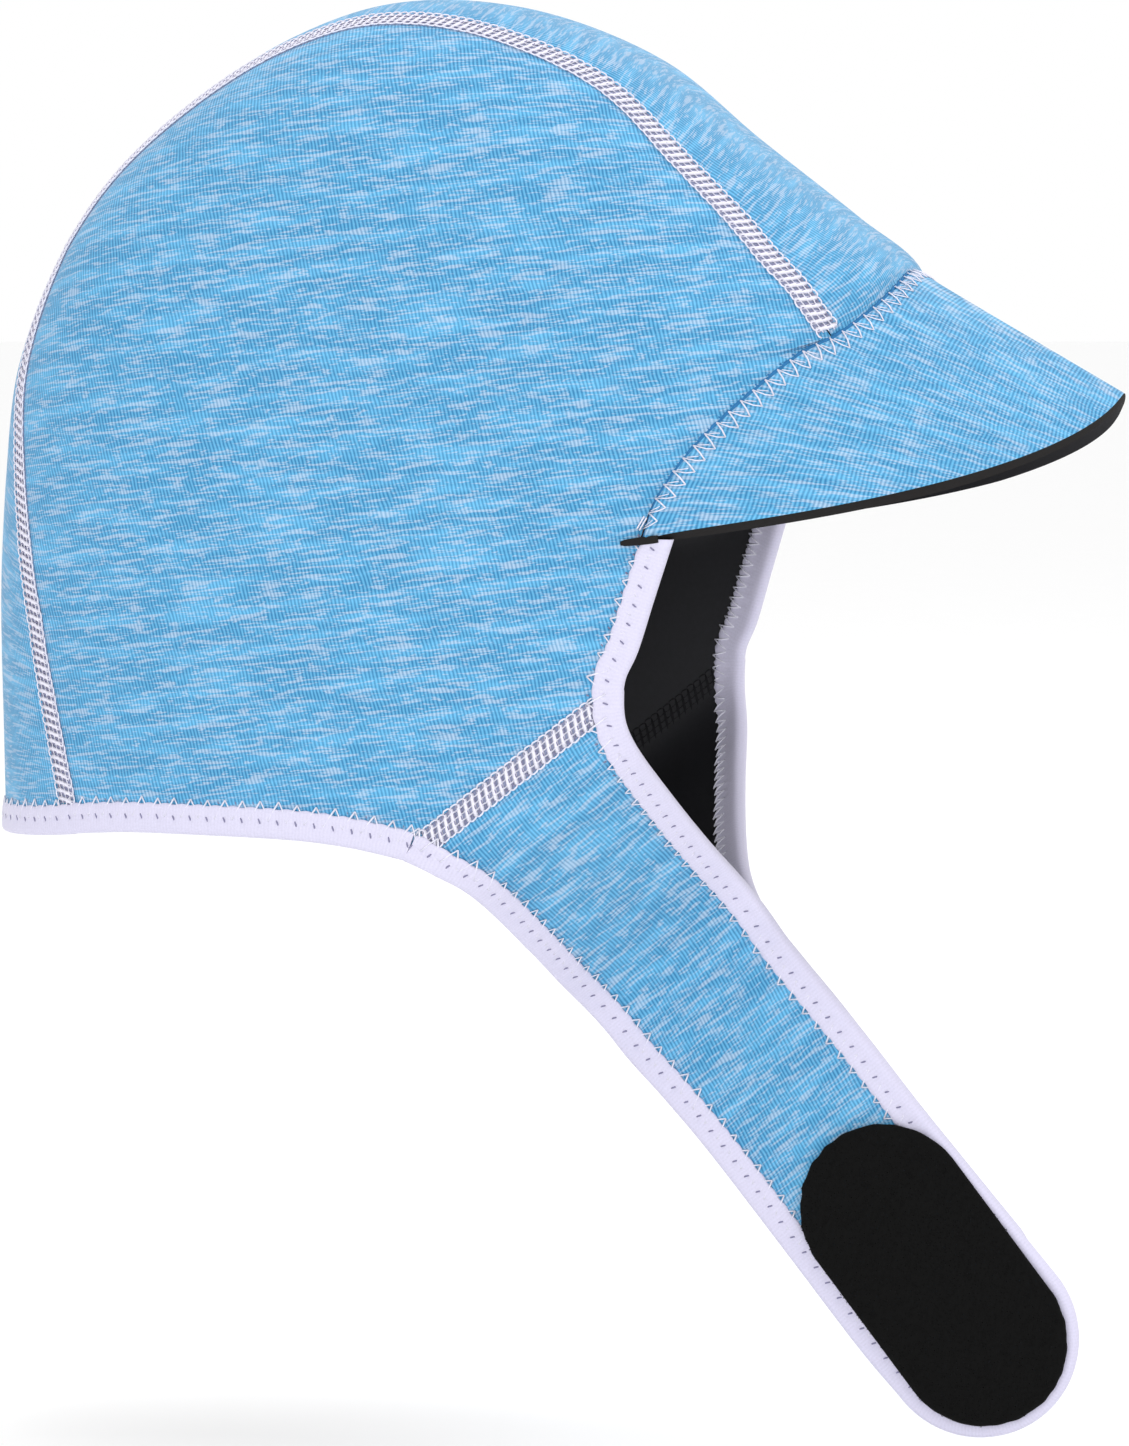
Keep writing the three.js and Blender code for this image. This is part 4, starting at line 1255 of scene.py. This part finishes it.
def binding_piece(name, points, normals, out, sizes, colours):
    """The folded elastic along an edge, given as points, normals and ways out of the sheet."""
    pitches = [fitted(points, pitch) for pitch in (sizes.binding_pitch, sizes.inner_pitch)]
    # The first end runs on a little to meet the next binding, the last one goes under the peak.
    first, last, step = 0.2, 1.4, 0.75
    points = np.vstack([
        points[:1] - unit(points[1:2] - points[:1]) * first, points,
        points[-1:] + unit(points[-1:] - points[-2:-1]) * last,
    ])
    normals, out = (np.vstack([each[:1], each, each[-1:]]) for each in (normals, out))
    points, normals, out = even(points, int(run_of(points)[-1] / step), normals, out)
    normals, out = unit(normals), unit(out)
    run = run_of(points) - first
    section = binding_loop(sizes)
    count = len(section)
    x, y = (np.broadcast_to(section[:, k], (len(points), count)) for k in (0, 1))
    upper = y > -sizes.wall / 2
    skin = np.arange(count) < count - 4
    # The zigzag pulls a dimple into the middle of each face and scallops the inner leg's end.
    beat, inner_beat = (np.cos(2 * math.pi * run / pitch)[:, None] for pitch in pitches)
    middle = np.exp(-(((x + sizes.binding_leg - 3.3) / 1.0) ** 2))
    y = y - np.where(skin & upper, 0.42 * np.maximum(beat, 0) ** 2 * middle, 0)
    y = y + np.where(skin & ~upper, 0.26 * np.maximum(inner_beat, 0) ** 2 * middle, 0)
    ends = np.exp(-((x + sizes.binding_leg) / 1.2) ** 2)
    x = x + np.where(upper, 0.18 * beat, 0.35 * inner_beat) * ends
    ring = points[:, None] + out[:, None] * x[..., None] + normals[:, None] * y[..., None]
    if "strap" in name:
        # Its end is cut on the slant of the peak's corner.
        level = 0.3 * (x[-1] + sizes.binding_leg)
        ring[-1] += unit(points[-1] - points[-2]) * level[:, None]
    uv = np.stack(np.broadcast_arrays(run[:, None], run_of(section)[None, :]), -1)
    return mesh_object(
        name, ring.reshape(-1, 3), tube_faces(len(points), count), [folded_elastic(colours)], None,
        uv.reshape(-1, 2), ELASTIC_SHARP,
    )


def hem_path(shape):
    """The hem from the right strap round the nape to the left strap."""
    half = shape.centre_half(1.0) - shape.s.seam_gap / 2
    y = np.linspace(-half, half, 121)
    middle, middle_normal = shape.crown(np.ones_like(y), y)
    along = unit(np.gradient(middle, axis=0))
    middle_out = unit(np.cross(along, middle_normal))
    middle_out *= -np.sign(middle_out[:, 2:].mean())
    right, left = shape.side_edge(RIGHT), shape.side_edge(LEFT)
    middle = (middle, middle_normal, middle_out)
    return [np.vstack([right[i][0][::-1], middle[i], left[i][0]]) for i in range(3)]


class HOOD_OT_bindings(bpy.types.Operator):
    """Adds the folded elastic round the nape, the straps and the face"""

    bl_idname = "hood.bindings"
    bl_label = "Bindings"

    def execute(self, context):
        sizes, colours, shape = parts_of(context)
        paths = {"hem_binding": hem_path(shape)}
        for side, name in SIDES:
            paths[f"strap_binding_{name}"] = [each[1] for each in shape.side_edge(side)]
        thread, mark = spun_thread(colours), needle_hole_shade(colours)
        leg, pitch = sizes.binding_leg, sizes.binding_pitch
        for name, (points, normals, out) in paths.items():
            piece = binding_piece(f"{name}_elastic", points, normals, out, sizes, colours)
            finish_piece(piece, "elastic_binding", name)
            flip = -1 if (np.cross(np.gradient(points, axis=0), normals) * out).sum() > 0 else 1
            # Each face's zigzag: its path, its pitch and its reach onto the sheet.
            for label, place, up, turn, its_pitch, reach in (
                ("outer", points, normals, flip, pitch, 1.4),
                ("inner", points - normals * sizes.wall, -normals, -flip, sizes.inner_pitch, 0.8),
            ):
                start, end = -(leg - 3.2) * turn, -(leg + reach) * turn
                stitch = binding_stitch(sizes, thread, its_pitch, start, end)
                stitches(f"{name}_zigzag_{label}", place, up, stitch, thread, its_pitch, 0.04, 3)
                bpy.data.objects.remove(stitch)
            # Dark dots of painted shade in the needle holes in the middle of the elastic and at the zigzag's
            # points on the sheet.
            on_elastic = [(-0.25, -(leg - 3.9) * flip, 0.66), (0.25, -(leg - 2.7) * flip, 0.66)]
            on_sheet = [(1.9, -(leg + 0.5) * flip, -0.2), (2.2, -(leg + 1.1) * flip, -0.2)]
            dot = stitch_mesh("needle_dot", [(on_elastic, 0.22, 5, 0.8), (on_sheet, 0.2, 4, 0.8)], mark)
            stitches(f"{name}_needle_marks", points, normals, dot, mark, pitch, 0.05, 5)
            bpy.data.objects.remove(dot)
        return {"FINISHED"}


def seam_band(name, points, normals, sizes, colours):
    """The shaded bed under a flatlock seam's threads."""
    step, depth, taper = 1.5, 0.8, 0.98
    points, normals = even(points, int(run_of(points)[-1] / step), normals)
    normals = unit(normals)
    across = unit(np.cross(normals, unit(np.gradient(points, axis=0))))
    lanes = np.array([-1.0, -0.95, 0.0, 0.95, 1.0]) * sizes.flatlock_width / 2
    heights = np.array([-0.5, -0.22, -0.14, -0.22, -0.5])
    top = points[:, None] + across[:, None] * lanes[:, None] + normals[:, None] * heights[:, None]
    low = points[:, None] + across[:, None] * lanes[::-1, None] * taper + normals[:, None] * -depth
    ring = np.concatenate([top, low], 1)
    faces = tube_faces(*ring.shape[:2])
    finish_piece(
        mesh_object(name, ring.reshape(-1, 3), faces, [shaded_seam_bed_thread(colours)]), "elastic_binding"
    )


class HOOD_OT_flatlock_seams(bpy.types.Operator):
    """Adds the flat seams' threads over the crown and at the straps"""

    bl_idname = "hood.flatlock_seams"
    bl_label = "Flatlock seams"

    def execute(self, context):
        sizes, colours, shape = parts_of(context)
        thread, marks = spun_thread(colours), needle_hole_shade(colours)
        stitch, holes = flatlock_stitch(sizes, thread), flatlock_holes(sizes, marks)
        pitch = sizes.flatlock_pitch
        # The crown's seams stop under the peak's threads and the hem's elastic, the straps'
        # under their bindings.
        along = np.linspace(0.006, 0.985, 500)
        strap_line = shape.strap_seam(60, 0.0)[6:-6]
        for side, name in SIDES:
            crown = shape.crown(along, side * shape.centre_half(along))
            for label, (points, normals) in (("crown", crown), ("strap", shape.side(strap_line, side))):
                seam = f"{label}_seam_{name}"
                inside = points - normals * sizes.wall
                stitches(
                    f"{seam}_outer", points + normals * -0.08, normals, stitch, thread, pitch, 0.04, 7
                )
                stitches(
                    f"{seam}_inner", inside + normals * 0.22, -normals, stitch,
                    lining_thread(colours), pitch, 0.04, 7,
                )
                # Dark ovals of painted shade in the openings between the covering threads.
                stitches(f"{seam}_holes", points, normals, holes, marks, pitch, 0.0, 7)
                seam_band(f"{seam}_bed", points, normals, sizes, colours)
        bpy.data.objects.remove(stitch)
        bpy.data.objects.remove(holes)
        return {"FINISHED"}


class HOOD_OT_peak_seam(bpy.types.Operator):
    """Adds the wide zigzag that joins the peak to the brow"""

    bl_idname = "hood.peak_seam"
    bl_label = "Peak seam"

    def execute(self, context):
        sizes, colours, shape = parts_of(context)
        thread, valley_shade = spun_thread(colours), jersey_in_painted_shade(colours)
        pitch, r = sizes.peak_pitch, sizes.thread * 0.42
        points, normals, run = peak_points(shape, np.linspace(0, 0.12, 6))
        ways = unit(points[2] - points[0])
        line, lifted = points[0], normals[2]
        lifted = unit(lifted - ways * (lifted * ways).sum(1, keepdims=True))
        turn = 1 if (np.cross(lifted, np.gradient(line, axis=0)) * ways).sum() > 0 else -1
        tall = sizes.peak_stitch * turn
        tip = (pitch * 0.28, tall, 0.0)
        away = [(-pitch * 0.5, -0.5 * turn, -0.25), (-pitch * 0.1, tall * 0.6, 0.2), tip]
        home = [tip, (pitch * 0.42, tall * 0.5, 0.26), (pitch * 0.5, -0.5 * turn, -0.25)]
        under = [(-pitch * 0.3, 0.2 * turn, 0.05), (pitch * 0.2, tall * 0.55, 0.12)]
        tubes = [(away, r, 4, 1.0), (home, r * 1.25, 4, 1.0), (under, r * 0.7, 4, 1.0)]
        stitch = stitch_mesh("peak_stitch", tubes, thread)
        # The zigzag stops short of the corners, where the bar tacks are.
        corner = 5.0
        inside = (run > corner) & (run < run[-1] - corner)
        stitches(
            "peak_seam_zigzag", (line + lifted * 0.1)[inside], lifted[inside], stitch, thread, pitch,
            0.08, 11,
        )
        bpy.data.objects.remove(stitch)
        # Dark tubes of painted shade in the crown's dents at each needle point.
        hole = [(-0.2, -1.2 * turn, -0.5), (0.3, -0.3 * turn, -0.45)]
        dent_shade = stitch_mesh("peak_dent", [(hole, 0.3, 5, 0.7)], valley_shade)
        stitches(
            "peak_seam_marks", line, lifted, dent_shade, valley_shade, pitch, 0.1, 13, "heather_neoprene"
        )
        bpy.data.objects.remove(dent_shade)
        # Jersey that closes the joint from below, in a plain dark colour that is partly painted shade.
        corners, faces = tube(line[::2] - lifted[::2] * 1.05 + ways[::2] * -0.3, 0.75, 8)
        filler = mesh_object("peak_seam_valley", corners, faces, [valley_shade])
        finish_piece(filler, "heather_neoprene")
        # The peak's corner laps over the binding's end, held by a bar tack.
        temple = np.array(shape.spot(BROW[0]))
        lap = temple + np.linspace([-4.4, -0.9], [4.4, 0.3], 9)
        lap_shares = np.array([0.5, 0.8, 0.9, 0.95, 1.0, 1.0, 1.0, 1.0, 0.9])
        lap_lift, lap_sides, lap_flat = 0.95, 10, 0.35
        tack = temple + np.array([0.6, 4.0]) + np.linspace([-0.9, -1.5], [0.8, 1.5], 6)
        for side, name in SIDES:
            place, up = shape.side(lap, side)
            line = place + up * lap_lift
            corners, faces = tube(line, 1.0, lap_sides)
            centre, shares, ups = (
                np.repeat(each, lap_sides, axis=0) for each in (line, lap_shares[:, None], up)
            )
            ring = (corners - centre) * shares
            ring -= ups * ((ring * ups).sum(1, keepdims=True)) * lap_flat
            piece = mesh_object(f"peak_corner_{name}", centre + ring, faces, [cut_foam(colours)])
            finish_piece(piece, "heather_neoprene")
            place, up = shape.side(tack, side)
            tubes = [
                (place + up * 0.25 + np.array([shift, 0, -shift * 0.6]), r * 1.3, 5, 1.0)
                for shift in (-0.3, 0.3)
            ]
            lump = stitch_mesh(f"peak_tack_{name}", tubes, thread)
            context.scene.collection.objects.link(lump)
            finish_piece(lump, "elastic_binding")
        return {"FINISHED"}


def stadium(length_mm, width_mm, count):
    """Outline of a pad with straight sides and round ends."""
    turn = np.arange(count) / count * 2 * math.pi
    straight = (length_mm - width_mm) / 2
    down = np.cos(turn) * width_mm / 2 + np.sign(np.cos(turn)) * straight
    return np.stack([down, np.sin(turn) * width_mm / 2], 1)


def smooth_noise(x, y, seed):
    """Gentle waves from a few sines with seeded phases."""
    generator = np.random.default_rng(seed)
    total = 0
    for _ in range(6):
        fx, fy, phase = generator.uniform(-0.9, 0.9), generator.uniform(-0.9, 0.9), generator.uniform(0, 6.3)
        total = total + np.sin(fx * x + fy * y + phase)
    return total / 6


@made_once("node_groups")
def nap_on_a_pad():
    """Scatters a small shape over the marked part of a pad, with a fixed seed."""
    tree, given = new_tree(
        "nap_on_a_pad", "Pad", "Nap", Shape="Object", Finish="Material", Spacing="Float",
        Density="Float", Least_size="Float", Seed="Int",
    )
    wanted = add(tree, "GeometryNodeInputNamedAttribute", {"Name": "napped"}, data_type="FLOAT")
    spread = add(
        tree, "GeometryNodeDistributePointsOnFaces",
        {
            "Mesh": given["Pad"], "Distance Min": given["Spacing"], "Density Max": given["Density"],
            "Density Factor": wanted.outputs[0], "Seed": given["Seed"],
        },
        distribute_method="POISSON",
    )
    spin = add(
        tree, "FunctionNodeRandomValue", {3: 2 * math.pi, "Seed": given["Seed"]}, data_type="FLOAT"
    )
    twist = add(tree, "ShaderNodeCombineXYZ", {2: spin.outputs[1]})
    turned = add(
        tree, "FunctionNodeRotateRotation", {0: spread.outputs["Rotation"], 1: twist.outputs[0]},
        rotation_space="LOCAL",
    )
    size = add(
        tree, "FunctionNodeRandomValue", {2: given["Least size"], "Seed": 9}, data_type="FLOAT"
    )
    return end_tree(
        tree, spread.outputs[0], given["Shape"], turned.outputs[0], size.outputs[1], given["Finish"]
    )


def nap(name, pad, shape_object, material, spacing, density, least, seed, slot):
    """A finished piece: a small shape scattered over a pad, its spacing in millimetres."""
    host = bpy.data.objects.new(name, pad.data.copy())
    bpy.context.scene.collection.objects.link(host)
    values = {
        "Shape": shape_object, "Finish": material, "Spacing": spacing * MM,
        "Density": density, "Least size": least, "Seed": seed,
    }
    finish_piece(applied(host, nap_on_a_pad(), values, name), slot)
    bpy.data.objects.remove(shape_object)


def pad_piece(name, frame_at, length_mm, width_mm, height, material, ragged, seed):
    """A stadium-shaped pad with a rounded edge, marked where the nap grows."""
    outline = stadium(length_mm, width_mm, 168)
    # Rings of its top as shares of the outline, and the fall of the last four over its edge.
    shares = np.concatenate([np.linspace(0, 0.9, 27)[1:], [0.94, 0.97, 0.99, 1.0]])
    fall = np.array([0.0] * 26 + [0.06, 0.2, 0.45, 0.85])[:, None] * height * 0.6
    x, y = (shares[:, None] * outline[None, :, k] for k in (0, 1))
    edge = 1 + ragged * smooth_noise(outline[:, 0] * 1.9, outline[:, 1] * 1.9, seed) * 0.02
    grow = mix(1.0, edge[None, :], (shares[:, None] > 0.85))
    x, y = x * grow, y * grow
    bumps = ragged * 0.12 * smooth_noise(x * 1.3, y * 1.3, seed + 1)
    top, normals = frame_at(x, y)
    top = top - normals * (fall - bumps)[..., None]
    base, base_normals = frame_at(x[[-1]] * 0.985, y[[-1]] * 0.985)
    base = base - base_normals * height
    middle, middle_normal = frame_at(np.zeros(1), np.zeros(1))
    points = np.vstack([middle, top.reshape(-1, 3), base[0], middle - middle_normal * height])
    count, rings = len(outline), len(shares)
    ring = 1 + rings * count + np.arange(count)
    base_fan = np.stack([np.full(count, len(points) - 1), np.roll(ring, -1), ring], 1)
    piece = mesh_object(name, points, [*disc_faces(rings + 1, count), *base_fan], [material])
    amount = np.zeros(len(points), np.float32)
    amount[: 1 + (rings - 1) * count] = 1
    piece.data.attributes.new("napped", "FLOAT", "POINT").data.foreach_set("value", amount)
    return piece


class HOOD_OT_pads(bpy.types.Operator):
    """Adds the loop pad on the right strap and the hook pad on the left one"""

    bl_idname = "hood.pads"
    bl_label = "Touch-fastening pads"

    def execute(self, context):
        sizes, colours, shape = parts_of(context)
        middle = shape.strap_edges(np.array([STRAP_TIP_START]))[2][0]
        down = sizes.strap_length - sizes.loop_margin - sizes.loop_length / 2
        top = sizes.binding_clearance + sizes.binding + sizes.pad_clearance + sizes.loop_height

        def on_right(x, y):
            spots = shape.strap_spot(down + x, middle + sizes.loop_offset + y)
            points, normals = shape.side(spots, RIGHT)
            return points + normals * top, normals

        pile = brushed_pile(colours)
        pad = pad_piece(
            "loop_pad_pile", on_right, sizes.loop_length, sizes.loop_width, sizes.loop_height, pile, 0.4, 21
        )
        finish_piece(pad, "pile", "loop_pad")
        bow = [(-0.28, 0, -0.1), (-0.2, 0.05, 0.3), (0.16, 0.02, 0.36), (0.3, 0, -0.1)]
        loop = stitch_mesh("pile_loop", [(bow, 0.09, 3, 1.0)], pile)
        # Loops per square centimetre become loops per square metre.
        nap("loop_pad_nap", pad, loop, pile, 0.62, sizes.pile_loops * 1e4, 0.6, 23, "pile")
        run = shape.strap_run(LEFT)
        hook_down = run - sizes.hook_margin - sizes.hook_length / 2
        hook_middle = shape.strap_edges(np.array([hook_down / run]))[2][0]
        # The tape is the pad's height less what the hooks stand proud of it.
        hook_rise = 0.45
        tape_height = sizes.hook_height - hook_rise

        def on_left(x, y):
            points, normals = shape.side(shape.strap_spot(hook_down + x, hook_middle + y), LEFT)
            return points - normals * (sizes.wall + sizes.pad_clearance + tape_height), -normals

        hooks = moulded_hooks(colours)
        tape = pad_piece(
            "hook_pad_tape", on_left, sizes.hook_length, sizes.hook_width, tape_height, hooks, 0.2, 31
        )
        finish_piece(tape, "hooks", "hook_pad")
        stem, head = [(0, 0, -0.05), (0.02, 0, 0.25)], [(-0.05, 0, 0.3), (0.3, 0, 0.3)]
        hook = stitch_mesh("moulded_hook", [(stem, 0.16, 4, 1.0), (head, 0.13, 4, 1.0)], hooks)
        nap("hook_pad_hooks", tape, hook, hooks, 1.15, 6e5, 0.85, 33, "hooks")
        return {"FINISHED"}


class HOOD_OT_studio(bpy.types.Operator):
    """Adds the pale floor, the soft lights and the camera"""

    bl_idname = "hood.studio"
    bl_label = "Studio"

    def execute(self, context):
        colours = context.scene.hood_colours
        scene = context.scene
        low = CAD_BOX[0][2] - FLOOR_GAP
        mesh = bpy.data.meshes.new("floor")
        corners = [(x * FLOOR_REACH, y * FLOOR_REACH, low) for x, y in ((-1, -1), (1, -1), (1, 1), (-1, 1))]
        mesh.from_pydata(corners, [], [(0, 1, 2, 3)])
        # Matt paper: white, with fibres that barely show.
        material, tree, shader = new_material("matt_paper", Roughness=0.95, Specular_IOR_Level=0.1)
        place = add(tree, "ShaderNodeTexCoord").outputs["Object"]
        fibres = add(tree, "ShaderNodeTexNoise", {"Vector": place, "Scale": 40.0, "Detail": 3.0})
        tone = add(
            tree, "ShaderNodeMix",
            {"Factor": fibres.outputs[0], 6: rgba(colours.floor, 0.985), 7: rgba(colours.floor)},
            data_type="RGBA",
        )
        tree.links.new(tone.outputs[2], shader.inputs["Base Color"])
        mesh.materials.append(material)
        floor = bpy.data.objects.new("floor", mesh)
        scene.collection.objects.link(floor)

        world = bpy.data.worlds.new("studio")
        world.use_nodes = True
        background = world.node_tree.nodes["Background"]
        background.inputs["Color"].default_value = (1.0, 1.0, 1.0, 1.0)
        background.inputs["Strength"].default_value = 1.0
        scene.world = world
        scene.view_settings.view_transform = "Standard"

        azimuth, elevation = math.radians(AZIMUTH), math.radians(ELEVATION)
        level = math.cos(elevation)
        right = Vector((math.cos(azimuth), math.sin(azimuth), 0))
        back = Vector((math.sin(azimuth) * level, -math.cos(azimuth) * level, math.sin(elevation)))
        up = back.cross(right)
        target = right * (PHOTO_MIDDLE[0] - PHOTO_ORIGIN[0]) * PIXEL
        target += up * (PHOTO_ORIGIN[1] - PHOTO_MIDDLE[1]) * PIXEL
        camera = bpy.data.objects.new("camera", bpy.data.cameras.new("camera"))
        camera.data.sensor_width = SENSOR
        camera.data.lens = DISTANCE / PIXEL / PHOTO_HEIGHT * SENSOR
        camera.data.clip_end = 20
        turn = Matrix((right, up, back)).transposed().to_4x4()
        camera.matrix_world = Matrix.Translation(target + back * DISTANCE) @ turn
        scene.collection.objects.link(camera)
        scene.camera = camera

        for name, place, size, power in LAMPS:
            light = bpy.data.lights.new(name, "AREA")
            light.size, light.energy = size, power
            lamp = bpy.data.objects.new(name, light)
            lamp.location = place
            lamp.rotation_euler = (Vector(LAMP_AIM) - Vector(place)).to_track_quat("-Z", "Y").to_euler()
            scene.collection.objects.link(lamp)
        return {"FINISHED"}


class HOOD_PT_panel(bpy.types.Panel):
    """Lists the hood's pieces, sizes and colours"""

    bl_idname = "HOOD_PT_panel"
    bl_label = "Diving hood"
    bl_space_type = "VIEW_3D"
    bl_region_type = "UI"
    bl_category = "Diving hood"

    def draw(self, context):
        for operator in OPERATORS:
            self.layout.operator(operator.bl_idname)
        for group in (context.scene.hood_sizes, context.scene.hood_colours):
            box = self.layout.box()
            for name in group.__annotations__:
                box.prop(group, name)


OPERATORS = (
    HOOD_OT_centre_panel, HOOD_OT_side_panels, HOOD_OT_straps, HOOD_OT_peak, HOOD_OT_bindings,
    HOOD_OT_flatlock_seams, HOOD_OT_peak_seam, HOOD_OT_pads, HOOD_OT_studio,
)
CLASSES = (HoodSizes, HoodColours, *OPERATORS, HOOD_PT_panel)


def register():
    for each in CLASSES:
        bpy.utils.register_class(each)
    bpy.types.Scene.hood_sizes = PointerProperty(type=HoodSizes)
    bpy.types.Scene.hood_colours = PointerProperty(type=HoodColours)


def unregister():
    del bpy.types.Scene.hood_sizes
    del bpy.types.Scene.hood_colours
    for each in reversed(CLASSES):
        bpy.utils.unregister_class(each)


def main():
    register()
    for operator in OPERATORS:
        group, name = operator.bl_idname.split(".")
        getattr(getattr(bpy.ops, group), name)()


if __name__ == "__main__":
    main()
